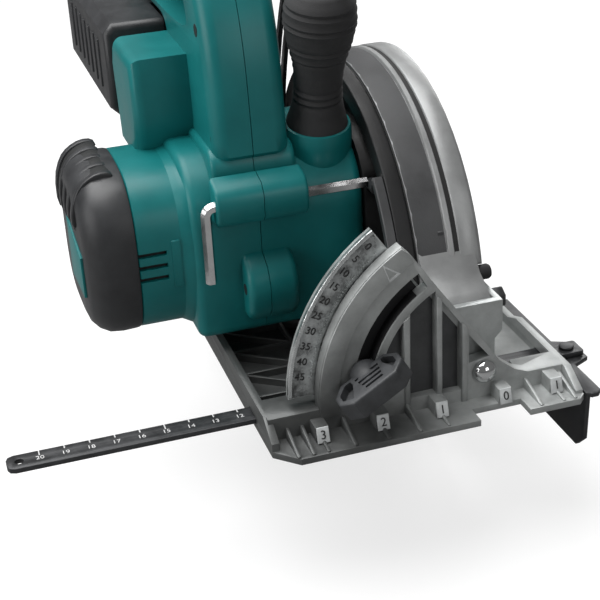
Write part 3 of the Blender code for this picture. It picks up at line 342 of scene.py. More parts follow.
def rib(y, x0, x1, z0, z1, width=1.5):
    """A low rounded rib along X that falls from z0 at x0 to z1 at x1."""
    return slab("XZ", [[(x0, 1.0), (x1, 1.0), (x1, z1), (x0, z0)]], (y - width / 2, y + width / 2), 0.45, 2)


shoe_parts = [from_node("shoe", 0.45)]
for y in (-86.0, -80.0, -63.0, -36.0, 16.0, 31.0):
    shoe_parts.append(rib(y, 13.0, 29.2, 7.4, 3.3))
for y in (-74.0, -49.1, -24.1, 25.9):
    shoe_parts.append(rib(y, 22.0, 29.2, 4.2, 3.2))
shoe_parts += [
    slab("YZ", [arc(TILT, 69.9, 186, 119.8, 44) + [(-34.2, 72.6)] + arc(TILT, 61.8, 118.8, 186, 44)],
         (PLATE_FRONT - 1.0, PLATE_FRONT + 0.7), 0.3),
    slab("YZ", [sector(TILT, 45.6, 48.3, 164, 122.5, 30)], (PLATE_FRONT - 1.0, PLATE_FRONT + 0.2), 0.15),
    slab("YZ", [[(-36.9, 44.0), (-34.4, 46.0), (-34.4, 2.5), (-36.9, 2.5)]], (9.0, PLATE_FRONT + 0.7), 0.5),
    slab("YZ", [[(-23.3, 53.0), (-20.9, 50.5), (-20.9, 2.5), (-23.3, 2.5)]], (9.0, PLATE_FRONT + 1.2), 0.6),
    slab("YZ", [[(-12.4, 39.0), (-10.0, 36.0), (-10.0, 2.5), (-12.4, 2.5)]], (9.0, PLATE_FRONT + 1.0), 0.5),
]
# a lattice of stiffening ribs, in triangles, over the floor on the motor side
CELL, LATTICE_REAR, LATTICE_FRONT = 20.0, -196.0, -12.0
OUTER_Y, MIDDLE_Y, INNER_Y = -90.5, -62.0, -34.0
HALF_LATTICE_RIB = 0.65
for i in range(9):
    x = LATTICE_REAR + CELL * i
    for a, b in (((x, OUTER_Y), (x + CELL, MIDDLE_Y)), ((x + CELL, MIDDLE_Y), (x + CELL, OUTER_Y)),
                 ((x, MIDDLE_Y), (x + CELL, MIDDLE_Y)), ((x, INNER_Y), (x + CELL, MIDDLE_Y)),
                 ((x, MIDDLE_Y), (x + CELL / 2, INNER_Y))):
        run = Vector((b[0] - a[0], b[1] - a[1]))
        side = Vector((-run.y, run.x)).normalized() * HALF_LATTICE_RIB
        loop = [(a[0] + side.x, a[1] + side.y), (b[0] + side.x, b[1] + side.y),
                (b[0] - side.x, b[1] - side.y),
                (a[0] - side.x, a[1] - side.y)]
        if max(a[0], b[0]) < LATTICE_FRONT:
            shoe_parts.append(slab("XY", [loop], (2.0, 6.0), 0.3, 1))
# Painted shade: the shoe's base colour is multiplied down to a quarter towards the floor and towards the
# motor side.
cast_tree = cast_grey.node_tree
where = cast_tree.nodes.new("ShaderNodeTexCoord")
lie = cast_tree.nodes.new("ShaderNodeVectorMath")
lie.operation = "DOT_PRODUCT"
lie.inputs[1].default_value = (0.0, 0.5, 1.0)
painted_shade_ramp = cast_tree.nodes.new("ShaderNodeMapRange")
painted_shade_ramp.inputs["From Min"].default_value = -0.024
painted_shade_ramp.inputs["From Max"].default_value = 0.008
painted_shade_ramp.inputs["To Min"].default_value = 0.24
painted_shade_ramp.inputs["To Max"].default_value = 1.0
shade = cast_tree.nodes.new("ShaderNodeMix")
shade.data_type = "RGBA"
shade.blend_type = "MULTIPLY"
shade.inputs["Factor"].default_value = 1.0
cast_shader = cast_tree.nodes["Principled BSDF"]
cast_tree.links.new(where.outputs["Object"], lie.inputs[0])
cast_tree.links.new(lie.outputs["Value"], painted_shade_ramp.inputs["Value"])
cast_tree.links.new(cast_shader.inputs["Base Color"].links[0].from_socket, shade.inputs["A"])
cast_tree.links.new(painted_shade_ramp.outputs["Result"], shade.inputs["B"])
cast_tree.links.new(shade.outputs["Result"], cast_shader.inputs["Base Color"])
piece("shoe_casting", shoe_parts, cast_grey, "shoe", ("shoe",))

# Painted shade: dark slabs laid on the quadrant's pocket floors stand in for the shade in the pockets.
pocket_shade = surface("quadrant_pocket_painted_shade", (0.065, 0.067, 0.069), 0.55, 0.3, dark=0.7, bright=1.3, blotch=60.0,
                      relief=0.15)
pocket = arc(TILT, 45.0, 176, 124, 24) + [(-24.8, 51.4), (-12.6, 34.8), (-12.6, 3.4), (-47.2, 3.4)]
piece("quadrant_pockets", [slab("YZ", [pocket], (9.3, 9.95), 0.1, 1)], pocket_shade, "shoe")
tile_metal = surface("machined_tile", (0.60, 0.62, 0.62), 0.45, 0.1, blotch=200.0, grain=3000.0, relief=0.1)
TILE_LEAN = math.radians(70)
TILE_X, TILE_Z = 21.6, 6.0
tilt = Matrix.Rotation(TILE_LEAN, 4, "Y")
toward = Vector((math.sin(TILE_LEAN), 0, math.cos(TILE_LEAN)))
up = Vector((-math.cos(TILE_LEAN), 0, math.sin(TILE_LEAN)))
tiles, figures = [], []
for y, text in ((-74.0, "3"), (-49.1, "2"), (-24.1, "1"), (3.4, "0"), (25.9, "1")):
    tile = slab("XY", [[(-3.2, -2.5), (3.2, -2.5), (3.2, 2.5), (-3.2, 2.5)]], (-0.6, 0.6), 0.35)
    spot = Vector((TILE_X, y, TILE_Z))
    tile.transform(Matrix.Translation(spot * MM) @ tilt)
    tiles.append(tile)
    figures.append(lettering(text, 5.0, 0.4, facing(spot + toward * 0.62, (0, 1, 0), up)))
piece("shoe_label_tiles", tiles, tile_metal, "shoe")
ink = surface("label_ink", (0.02, 0.02, 0.02), 0.6, blotch=300.0, relief=0.05)
arrow = slab("YZ", [[(-45.2, 70.0), (-38.0, 65.3), (-42.4, 62.2)],
                    [(-44.3, 68.7), (-39.4, 65.5), (-42.4, 63.4)]],
             (PLATE_FRONT + 0.6, PLATE_FRONT + 0.95), 0.05, 1)
piece("shoe_figures", figures, ink, "shoe", sharp=30)
piece("shoe_pointer", [arrow], tile_metal, "shoe", sharp=30)

# ---------------------------------------------------------------------------------------------
# The tilting bracket: a flatter die casting behind the quadrant. Its scale face is left as
# cast, mottled, with a raised rim, raised figures and one line for every degree.
bracket_metal = surface("cast_bracket", (0.46, 0.48, 0.475), 0.36, 0.6, dark=0.75, bright=1.2, blotch=70.0,
                        grain=2000.0, relief=0.15, wear=0.12)
mottled = surface("mottled_scale", (0.46, 0.48, 0.48), 0.30, 0.65, dark=0.16, bright=1.35, blotch=130.0,
                  grain=900.0, relief=0.35, wear=0.15)
piece("tilting_bracket", [from_node("tilt_bracket", 0.5)], bracket_metal, "tilt_frame", ("tilt_bracket",))
FACE = 7.7
piece("bevel_scale_face", [slab("YZ", [sector(TILT, 66.0, 79.6, 178.6, 123.6, 50)],
                                (FACE - 0.5, FACE + 0.12), 0.08, 1)],
      mottled, "tilt_frame")
# Painted shade: a near-black sheet behind the quadrant's slot and a near-black strip on the slot's wall
# stand in for the shade in the slot.
piece("slot_back_painted_shade", [slab("YZ", [sector(TILT, 46.0, 58.4, 172.0, 123.4, 40)], (FACE + 0.12, FACE + 0.45),
                          0.05, 1)],
      surface("slot_painted_shade", (0.012, 0.012, 0.013), 0.6, 0.2, relief=0.1), "tilt_frame")
piece("slot_wall_painted_shade", [slab("YZ", [sector(TILT, 48.3, 48.95, 163.0, 126.0, 40)], (8.5, 13.3), 0.05, 1)],
      bpy.data.materials["slot_painted_shade"], "shoe")
bright_rim = surface("bright_rim", (0.62, 0.64, 0.64), 0.25, 0.9, blotch=160.0, relief=0.15)
rim_parts = [slab("YZ", [sector(TILT, 79.2, 80.9, 178.8, 123.3, 56)], (FACE - 1.5, FACE + 0.7), 0.35)]


def tick_tree(name, material):
    """Geometry nodes: short bars set out round an arc, for a degree scale."""
    tree = bpy.data.node_groups.new(name, "GeometryNodeTree")
    face = tree.interface
    face.new_socket("Geometry", in_out="INPUT", socket_type="NodeSocketGeometry")
    face.new_socket("Geometry", in_out="OUTPUT", socket_type="NodeSocketGeometry")
    for label, kind in (("Count", "NodeSocketInt"), ("Radius", "NodeSocketFloat"),
                        ("First angle", "NodeSocketFloat"),
                        ("Sweep", "NodeSocketFloat"), ("Bar size", "NodeSocketVector")):
        face.new_socket(label, in_out="INPUT", socket_type=kind)
    nodes, links = tree.nodes, tree.links
    given = nodes.new("NodeGroupInput")
    given_out = nodes.new("NodeGroupOutput")
    path = nodes.new("GeometryNodeCurveArc")
    path.mode = "RADIUS"
    points = nodes.new("GeometryNodeCurveToPoints")
    points.mode = "COUNT"
    bar = nodes.new("GeometryNodeMeshCube")
    copies = nodes.new("GeometryNodeInstanceOnPoints")
    real = nodes.new("GeometryNodeRealizeInstances")
    coat = nodes.new("GeometryNodeSetMaterial")
    coat.inputs["Material"].default_value = material
    links.new(given.outputs["Count"], points.inputs["Count"])
    links.new(given.outputs["Radius"], path.inputs["Radius"])
    links.new(given.outputs["First angle"], path.inputs["Start Angle"])
    links.new(given.outputs["Sweep"], path.inputs["Sweep Angle"])
    path.inputs["Resolution"].default_value = 256
    links.new(path.outputs["Curve"], points.inputs["Curve"])
    links.new(given.outputs["Bar size"], bar.inputs["Size"])
    links.new(points.outputs["Points"], copies.inputs["Points"])
    links.new(points.outputs["Rotation"], copies.inputs["Rotation"])
    links.new(bar.outputs["Mesh"], copies.inputs["Instance"])
    links.new(copies.outputs["Instances"], real.inputs["Geometry"])
    links.new(real.outputs["Geometry"], coat.inputs["Geometry"])
    links.new(coat.outputs["Geometry"], given_out.inputs["Geometry"])
    return tree


def ticks(tree, count, radius, start, sweep, size, height):
    """The bars of one scale ring, as a plain mesh standing on the scale's face."""
    obj = loose(bpy.data.meshes.new("ticks"))
    maker = obj.modifiers.new("scale", "NODES")
    maker.node_group = tree
    values = {"Count": count, "Radius": radius * MM, "First angle": math.radians(start),
              "Sweep": math.radians(sweep), "Bar size": tuple(v * MM for v in size)}
    for item in tree.interface.items_tree:
        if item.in_out == "INPUT" and item.name in values:
            maker[item.identifier] = values[item.name]
    obj.matrix_world = Matrix.Translation(Vector((height, TILT[0], TILT[1])) * MM) @ PLANES["YZ"]
    bpy.context.view_layer.update()
    return clean(baked(obj))


scale_tree = tick_tree("degree_lines", bright_rim)
SCALE_START, SCALE_SWEEP = 172.0, -45.0
rim_parts.append(ticks(scale_tree, 46, 72.0, SCALE_START, SCALE_SWEEP, (0.3, 1.5, 0.3), FACE + 0.2))
rim_parts.append(ticks(scale_tree, 10, 72.5, SCALE_START, SCALE_SWEEP, (0.45, 2.5, 0.34), FACE + 0.2))
scale_figures = []
for value in range(0, 50, 5):
    lean = math.radians(127.0 + value)
    spot = (FACE + 0.22, TILT[0] + 76.4 * math.cos(lean), TILT[1] + 76.4 * math.sin(lean))
    scale_figures.append(lettering(str(value), 4.3, 0.5, facing(
        spot, (0, -math.cos(lean), -math.sin(lean)), (0, math.sin(lean), -math.cos(lean)))))
piece("bevel_scale_figures", scale_figures, ink, "tilt_frame", sharp=30)
piece("bevel_scale_marks", rim_parts, bright_rim, "tilt_frame", sharp=30)

# ---------------------------------------------------------------------------------------------
# Hinge pins, bolts and nuts: turned and headed steel. The front pivot rivet is domed and
# polished; the depth bolt and the blade bolt are blackened.
polished = surface("polished_steel", (0.72, 0.73, 0.73), 0.14, 1.0, dark=0.9, bright=1.05, blotch=80.0,
                   grain=900.0,
                   relief=0.03, wear=0.05)
plain_steel = surface("zinc_steel", (0.50, 0.51, 0.52), 0.32, 1.0, blotch=120.0, grain=1500.0, relief=0.06,
                      scratch=0.3)
blackened = surface("blackened_steel", (0.035, 0.036, 0.038), 0.42, 0.4, dark=0.7, bright=1.5, blotch=140.0,
                    grain=1800.0, relief=0.12)


def turned(axis, centre, profile, steps=40):
    """A turned mesh: (radius, along) points from one end of the axis to the other."""
    rings = []
    bm = bmesh.new()
    for radius, along in profile:
        row = []
        for i in range(steps):
            a = 2 * math.pi * i / steps
            u, v = centre[0] + radius * math.cos(a), centre[1] + radius * math.sin(a)
            spot = {"X": (along, u, v), "Y": (u, along, v), "Z": (u, v, along)}[axis]
            row.append(bm.verts.new(Vector(spot) * MM))
        rings.append(row)
    for a, b in zip(rings, rings[1:]):
        for i in range(steps):
            j = (i + 1) % steps
            bm.faces.new((a[i], a[j], b[j], b[i]))
    bm.faces.new(rings[0])
    bm.faces.new(list(reversed(rings[-1])))
    mesh = bpy.data.meshes.new("turned")
    bm.to_mesh(mesh)
    bm.free()
    return clean(mesh)


dome = [(5.0 * math.cos(math.radians(a)), PLATE_FRONT + 0.4 + 4.0 * math.sin(math.radians(a)))
        for a in range(0, 90, 10)]
piece("front_pivot_dome", [turned("X", TILT,
                                  [(3.2, 2.6), (3.2, PLATE_FRONT + 0.3), (5.0, PLATE_FRONT + 0.31)] + dome
                                  + [(0.3, PLATE_FRONT + 4.4)])], polished, "shoe", ("front_pivot_rivet",))
piece("rear_pivot", [from_node("rear_pivot_rivet", 0.5)], polished, "shoe", ("rear_pivot_rivet",))
piece("bevel_clamp_bolt", [from_node("bevel_bolt", 0.3)], plain_steel, "tilt_frame", ("bevel_bolt",))
piece("depth_hinge_bolt", [from_node("depth_pivot_bolt", 0.5)], blackened, "tilt_frame",
      ("depth_pivot_bolt",))
piece("depth_hinge_nut", [from_node("depth_pivot_nut", 0.3)], plain_steel, "tilt_frame",
      ("depth_pivot_nut",))
piece("guide_clamp", [from_node("guide_clamp_screw", 0.4)], plain_steel, "clamp_screw",
      ("guide_clamp_screw",))

# ---------------------------------------------------------------------------------------------
# The bevel knob: a moulded wing nut of dark glass-filled nylon. Coring slots between its ribs
# show on one side, with a triangular window at each end.
nylon = surface("dark_nylon", (0.040, 0.042, 0.045), 0.48, 0.0, dark=0.7, bright=1.5, blotch=120.0,
                grain=2600.0,
                relief=0.18, depth=0.0002)
KNOB = (TILT[0] + 52.3 * math.cos(math.radians(168.5)), TILT[1] + 52.3 * math.sin(math.radians(168.5)))


def carved(mesh, cutters):
    """Cuts meshes out of a mesh."""
    obj = loose(mesh)
    tools = [loose(cutter, "tool") for cutter in cutters]
    for tool in tools:
        cut = obj.modifiers.new("cut", "BOOLEAN")
        cut.operation = "DIFFERENCE"
        cut.solver = "EXACT"
        cut.object = tool
    mesh = baked(obj)
    for tool in tools:
        bpy.data.objects.remove(tool, do_unlink=True)
    return mesh


wing = slab("XY", [[(-15.0, 22.6), (-10.5, 17.6), (10.5, 17.6), (15.0, 22.6), (15.0, 27.6), (10.0, 32.2),
                    (-10.0, 32.2),
                    (-15.0, 27.6)]], (-4.6, 4.6), 0.9, 2)
slots = []
for i in range(4):
    v = 20.4 + 2.5 * i
    slots.append(slab("XY", [[(-4.6 + 0.7 * i, v), (6.4 - 0.3 * i, v), (6.4 - 0.3 * i, v + 1.3),
                              (-4.6 + 0.7 * i, v + 1.3)]],
                      (1.0, 6.0), 0.05, 1))
slots.append(slab("XY", [[(-12.8, 23.4), (-9.0, 19.6), (-6.4, 19.6), (-6.0, 22.0), (-8.6, 29.6),
                          (-12.8, 27.0)]],
                  (1.0, 6.0), 0.05, 1))
slots.append(slab("XY", [[(8.2, 19.6), (9.6, 19.6), (12.8, 23.2), (12.8, 26.6), (10.6, 28.4), (8.0, 22.0)]],
                  (1.0, 6.0), 0.05, 1))
wing = carved(wing, slots)
lean = math.radians(31)
wing.transform(Matrix(((0, 1, 0, 0), (math.cos(lean), 0, -math.sin(lean), KNOB[0] * MM),
                       (math.sin(lean), 0, math.cos(lean), KNOB[1] * MM), (0, 0, 0, 1))))
stem = turned("X", KNOB, [(5.4, 13.85), (6.3, 14.4), (6.3, 17.6), (5.2, 20.5), (3.4, 24.0)])
piece("bevel_wing_knob", [clean(wing), stem], nylon, "bevel_knob", ("bevel_knob",))

# ---------------------------------------------------------------------------------------------
# The rip guide: a strip of blackened steel with stamped white centimetre figures, riveted to
# a folded black fence.
piece("guide_strip", [from_node("guide_bar", 0.25)], blackened, "rip_guide", ("guide_bar",))
white_fill = surface("white_fill", (0.62, 0.62, 0.62), 0.6, blotch=400.0, relief=0.05)
FIRST_MARK, MARK_STEP = -180.0, 10.0
marks = []
BAR_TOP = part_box("guide_bar")[1].z / MM
for i in range(20):
    y = FIRST_MARK + MARK_STEP * i
    if -98.0 < y < -85.0 or y > 14.0:
        continue
    marks.append(block((-11.0, -9.0 if i % 5 else -7.6), (y - 0.25, y + 0.25),
                       (BAR_TOP - 0.05, BAR_TOP + 0.06), 0.02, 0))
    marks.append(lettering(str(20 - i), 3.4, 0.12,
                           facing((-5.8, y, BAR_TOP + 0.03), (0, 1, 0), (-1, 0, 0))))
piece("guide_marks", marks, white_fill, "rip_guide", sharp=30)
piece("rip_fence", [from_node("guide_fence", 0.6)], blackened, "rip_guide", ("guide_fence",))
piece("guide_pin", [from_node("guide_rivet", 0.3)], blackened, "rip_guide", ("guide_rivet",))

# ---------------------------------------------------------------------------------------------
# The upper guard: a cast cover over the blade. Its rim is a bright raised band with a groove beside it,
# and the rest of its edge is sunk; the sunk band's darker colour and the groove's black fill are painted
# shade.
guard_metal = surface("guard_casting", (0.31, 0.315, 0.315), 0.42, 0.35, dark=0.85, bright=1.12,
                      blotch=60.0,
                      grain=2200.0, relief=0.18, depth=0.0003)
guard_panel_shade = surface("guard_panel_painted_shade", (0.062, 0.063, 0.065), 0.5, 0.25, dark=0.8, bright=1.2,
                     blotch=60.0,
                     grain=2200.0, relief=0.2, depth=0.0003)
BLADE = (-98.0, 27.5)


def swept(centre, profile, start, end, count):
    """A closed profile of (radius, y) points carried round an axis along Y, with flat ends."""
    bm = bmesh.new()
    rows = []
    for i in range(count):
        a = math.radians(start + (end - start) * i / (count - 1))
        rows.append([bm.verts.new(Vector((centre[0] + r * math.cos(a), y,
                                          centre[1] + r * math.sin(a))) * MM)
                     for r, y in profile])
    size = len(profile)
    for a, b in zip(rows, rows[1:]):
        for i in range(size):
            j = (i + 1) % size
            bm.faces.new((a[i], a[j], b[j], b[i]))
    bm.faces.new(rows[0])
    bm.faces.new(list(reversed(rows[-1])))
    mesh = bpy.data.meshes.new("swept")
    bm.to_mesh(mesh)
    bm.free()
    return clean(mesh)


rim_profile = [(86.3, 8.0), (87.6, 8.3), (88.9, 7.4), (89.3, 6.2), (89.3, -0.7), (88.9, -1.3), (87.9, -1.5),
               (87.9, -3.3),
               (88.8, -3.5), (89.0, -3.8), (89.0, -5.6), (88.5, -6.0), (87.6, -6.3), (86.3, -6.3)]
piece("guard_body", [from_node("upper_guard", 0.5),
                     swept(BLADE, rim_profile, 14.8, 187.6, 120)], guard_metal, "saw_body",
      ("upper_guard",))
# Painted shade: the sunk band of the guard's edge and its nub get a near-black colour for the shade on
# them.
panel_profile = [(87.0, -6.4), (88.3, -6.6), (88.3, -17.6), (87.9, -19.0), (87.0, -19.4)]
piece("guard_panel", [swept(BLADE, panel_profile, 15.6, 186.0, 110),
                      block((-20.2, -17.0), (-9.4, -7.2), (62.6, 64.4), 0.4)], guard_panel_shade, "saw_body")
# Painted shade: a near-black strip laid in the groove stands in for the shade inside it.
groove = surface("guard_groove_painted_shade", (0.010, 0.010, 0.010), 0.6, relief=0.1)
piece("guard_groove_line", [swept(BLADE, [(87.4, -1.2), (88.5, -1.4), (88.5, -3.4), (87.4, -3.6)], 14.9,
                                  187.4, 120)], groove,
      "saw_body")
rubber = surface("black_rubber", (0.022, 0.022, 0.023), 0.75, 0.0, dark=0.8, bright=1.3, blotch=200.0,
                 grain=2600.0, relief=0.25)
piece("guard_buffer", [turned("Y", (-12.5, 45.2),
                              [(2.0, 5.35), (3.2, 5.6), (3.2, 10.4), (2.6, 11.3), (1.0, 11.5)])], rubber,
      "saw_body", ("guard_bumper",))
lower_metal = surface("lower_guard_casting", (0.42, 0.43, 0.43), 0.35, 0.7, dark=0.85, bright=1.12,
                      blotch=60.0, relief=0.12)
piece("lower_guard_shell", [from_node("lower_guard", 0.35)], lower_metal, "lower_guard", ("lower_guard",))

# ---------------------------------------------------------------------------------------------
# The gear case: a black painted die casting between the guard and the motor housing, its rim
# turned up in a fin along the guard.
black_paint = surface("black_case_paint", (0.006, 0.006, 0.0065), 0.52, 0.0, dark=0.75, bright=1.4,
                      blotch=80.0, grain=2400.0,
                      relief=0.22)
grey_fin = surface("grey_fin", (0.062, 0.063, 0.065), 0.42, 0.3, blotch=90.0, grain=2000.0, relief=0.12)
piece("gear_housing", [from_node("gear_case", 0.6),
                       slab("XZ", [arc(BLADE, 87.4, 3, 176, 60) + arc(BLADE, 79.0, 176, 3, 60)],
                            (-26.6, -19.9), 0.8)],
      black_paint, "saw_body", ("gear_case",))
piece("gear_case_fin", [swept(BLADE, [(83.0, -30.6), (86.2, -30.8), (86.7, -30.4), (86.7, -27.0),
                                      (86.2, -26.7), (83.0, -26.7)],
                              16.0, 42.0, 30)], grey_fin, "saw_body")
piece("spindle_lock", [from_node("spindle_lock_button", 0.5)], nylon, "spindle_lock_button",
      ("spindle_lock_button",))

# ---------------------------------------------------------------------------------------------
# The motor housing and handle: two clamshell halves of teal glass-filled nylon, screwed
# together along one parting line, with the key holder and a screw boss on the front.
teal = surface("teal_nylon", (0.005, 0.150, 0.152), 0.40, 0.0, dark=0.88, bright=1.10, blotch=35.0,
               grain=3600.0,
               relief=0.10, wear=0.05, coat=0.06, depth=0.00018)
teal.node_tree.nodes["Principled BSDF"].inputs["Specular IOR Level"].default_value = 0.32
PARTING = -75.5
MOTOR = (BLADE[0] + 31.0 * math.cos(math.radians(65.6)), BLADE[1] + 31.0 * math.sin(math.radians(65.6)))


def eased(loop, rounds=2):
    """Cuts the corners of a closed outline, again and again, until it runs smoothly."""
    for _ in range(rounds):
        out = []
        for (ax, ay), (bx, by) in zip(loop, loop[1:] + loop[:1]):
            out += [(ax * 0.75 + bx * 0.25, ay * 0.75 + by * 0.25),
                    (ax * 0.25 + bx * 0.75, ay * 0.25 + by * 0.75)]
        loop = out
    return loop


def cornered(low, high, radii, steps=8):
    (u0, v0), (u1, v1) = low, high
    a, b, c, d = radii
    return (arc((u0 + a, v0 + a), a, 180, 270, steps) + arc((u1 - b, v0 + b), b, 270, 360, steps)
            + arc((u1 - c, v1 - c), c, 0, 90, steps) + arc((u0 + d, v1 - d), d, 90, 180, steps))


def bar_of(loops, y_span, bevel, steps=3):
    return slab("XZ", loops, y_span, bevel, steps)


HOUSING = cornered((-123.0, 19.4), (-46.5, 96.0), (14.0, 4.2, 27.0, 24.0), 12)
HANDLE = [(-49.5, 88.0), (-51.0, 112.0), (-54.0, 138.0), (-62.0, 160.0), (-76.0, 178.0), (-94.0, 188.0),
          (-116.0, 191.5),
          (-142.0, 187.5), (-168.0, 178.5), (-192.0, 166.5), (-208.0, 153.5), (-214.5, 143.0),
          (-214.5, 136.0),
          (-210.0, 133.6), (-150.0, 133.6), (-128.0, 133.6), (-126.0, 120.0), (-118.0, 86.0)]
GAP = [(-82.0, 140.6), (-81.5, 150.5), (-88.0, 159.2), (-98.0, 163.6), (-116.0, 165.2), (-140.0, 162.0),
       (-162.0, 155.0),
       (-177.0, 148.6), (-182.0, 144.0), (-178.0, 140.6)]


def super_ring(centre, half, power, count=72):
    """A rounded square outline."""
    out = []
    for i in range(count):
        a = 2 * math.pi * i / count
        c, s = math.cos(a), math.sin(a)
        out.append((centre[0] + half * math.copysign(abs(c) ** (2 / power), c),
                    centre[1] + half * math.copysign(abs(s) ** (2 / power), s)))
    return out


def lofted(rings):
    """A closed skin through rings of equal count, each (outline in XZ, y)."""
    bm = bmesh.new()
    rows = [[bm.verts.new(Vector((u, y, v)) * MM) for u, v in outline] for outline, y in rings]
    size = len(rows[0])
    for a, b in zip(rows, rows[1:]):
        for i in range(size):
            j = (i + 1) % size
            bm.faces.new((a[i], a[j], b[j], b[i]))
    bm.faces.new(rows[0])
    bm.faces.new(list(reversed(rows[-1])))
    mesh = bpy.data.meshes.new("loft")
    bm.to_mesh(mesh)
    bm.free()
    return clean(mesh)


def split_at(mesh, y, keep):
    """The part of a closed mesh on one side of a plane across Y, closed again."""
    bm = bmesh.new()
    bm.from_mesh(mesh)
    cut = bmesh.ops.bisect_plane(bm, geom=bm.verts[:] + bm.edges[:] + bm.faces[:], plane_co=(0, y * MM, 0),
                                 plane_no=(0, -keep, 0), clear_outer=True)
    edges = [e for e in cut["geom_cut"] if isinstance(e, bmesh.types.BMEdge)]
    if edges:
        bmesh.ops.holes_fill(bm, edges=edges)
    bmesh.ops.recalc_face_normals(bm, faces=bm.faces)
    half = bpy.data.meshes.new("half")
    bm.to_mesh(half)
    bm.free()
    return half


key_holder = [(-48.5, 72.3), (-40.2, 72.3), (-37.9, 74.8), (-37.4, 83.8), (-40.6, 88.2), (-48.5, 90.5)]
boss = [(-48.5, 27.6), (-41.5, 27.6), (-36.6, 33.0), (-36.0, 44.0), (-39.5, 51.5), (-48.5, 57.0)]
both = [
    bar_of([HOUSING], (-104.7, -29.9), 4.0, 4),
    bar_of([eased(HANDLE)], (PARTING - 16.0, PARTING + 16.0), 6.5, 4),
    bar_of([key_holder], (-95.3, -56.5), 1.6, 3),
    bar_of([boss], (-84.8, -62.8), 3.2, 3),
    bar_of([cornered((-100.0, 60.0), (-50.5, 99.4), (3, 3, 8, 3), 6)], (-93.5, -57.5), 2.4, 3),
]
# the grip's finger gap is cut through the handle, and its mouth rolled
gap_tool = slab("XZ", [eased(GAP)], (-120.0, -30.0), 0.05, 1)
both[1] = rounded_edges(carved(both[1], [gap_tool]), 3.5, 50, 3)
flare = bar_of([[(-92.0, 84.0), (-84.0, 104.0), (-86.5, 131.0), (-125.0, 131.0), (-131.0, 120.0),
                 (-125.0, 84.0)]],
               (-116.0, -86.0), 5.0, 4)
barrel = lofted([(super_ring(MOTOR, 35.4, 2.9), -100.0), (super_ring(MOTOR, 35.8, 2.9), -106.0),
                 (super_ring(MOTOR, 35.8, 2.9), -126.0), (super_ring(MOTOR, 35.3, 2.9), -126.5)])
VENT_HEIGHTS = (49.2, 54.6, 60.0)
vents = [block((-51.8, -40.0), (-128.0, -114.6), (z, z + 2.1), 0.3) for z in VENT_HEIGHTS]
barrel = carved(barrel, vents)
collar = lofted([(super_ring(MOTOR, 37.4, 3.4), -97.0), (super_ring(MOTOR, 37.6, 3.4), -103.0),
                 (super_ring(MOTOR, 36.4, 3.1), -106.4), (super_ring(MOTOR, 35.6, 2.9), -108.8)])
pad = block((-51.0, -49.1), (-112.6, -109.0), (45.0, 66.0), 0.5)
left_parts = [split_at(m, PARTING - 0.15, -1) for m in both] + [flare, barrel, collar, pad]
right_parts = [split_at(m, PARTING + 0.15, 1) for m in both]
hole_at = [((-58.0, 104.0), -91.2), ((-66.0, 146.0), -91.5), ((-150.0, 173.0), -91.5),
           ((-204.0, 142.0), -91.5)]
piece("left_housing_half", left_parts, teal, "saw_body", ("left_shell",), sharp=40)
piece("right_housing_half", right_parts, teal, "saw_body", ("right_shell",), sharp=40)
# Painted shade: near-black discs down the screw holes and boss hole, and blocks behind the vents, stand in
# for the shade inside them.
shadow = surface("hole_and_gap_painted_shade", (0.006, 0.007, 0.007), 0.7, blotch=200.0, relief=0.05)
wells = []
for (x, z), y in hole_at:
    wells.append(turned("Y", (x, z), [(2.6, y - 0.10), (2.6, y + 1.0)], 28))
    wells.append(turned("Y", (x, z), [(2.6, -59.4), (2.6, -60.4)], 28))
wells.append(turned("Y", (-42.0, 42.0), [(2.4, -84.9), (2.4, -84.0)], 28))
wells += [block((-52.0, -51.4), (-126.3, -114.8), (z + 0.1, z + 2.0), 0.02, 0) for z in VENT_HEIGHTS]
piece("screw_wells", wells, shadow, "saw_body", sharp=30)

# ---------------------------------------------------------------------------------------------
# The motor's end cap: dark nylon, a rounded square cup with five fins that run over its
# shoulder, painted shade in the louvre gaps between them and a plain badge plate on its end.
cap_nylon = surface("cap_nylon", (0.022, 0.023, 0.025), 0.44, 0.0, dark=0.75, bright=1.35, blotch=70.0,
                    grain=2600.0,
                    relief=0.16, depth=0.0002)
cap_rings = []
for half, power, y in ((35.9, 2.9, -126.8), (36.2, 2.9, -128.0), (36.2, 3.0, -134.0), (35.4, 3.1, -139.5),
                       (33.2, 3.2, -143.4), (30.0, 3.3, -146.2), (26.5, 3.4, -147.4), (8.0, 3.0, -147.8)):
    cap_rings.append((super_ring(MOTOR, half, power), y))
cap_parts = [lofted(cap_rings)]
for i in range(5):
    x = MOTOR[0] - 25.0 + 10.2 * i
    fin = [(-129.5, MOTOR[1] + 33.4), (-131.0, MOTOR[1] + 36.6), (-136.5, MOTOR[1] + 36.9),
           (-142.2, MOTOR[1] + 34.2),
           (-146.0, MOTOR[1] + 30.2), (-149.0, MOTOR[1] + 22.0), (-149.2, MOTOR[1] + 9.0 + 1.5 * i),
           (-146.4, MOTOR[1] + 9.0 + 1.5 * i), (-145.0, MOTOR[1] + 24.0), (-140.0, MOTOR[1] + 31.0)]
    cap_parts.append(slab("YZ", [eased(fin, 1)], (x - 1.9, x + 1.9), 0.7, 2))
piece("motor_cap", cap_parts, cap_nylon, "saw_body", ("motor_end_cap",), sharp=38)
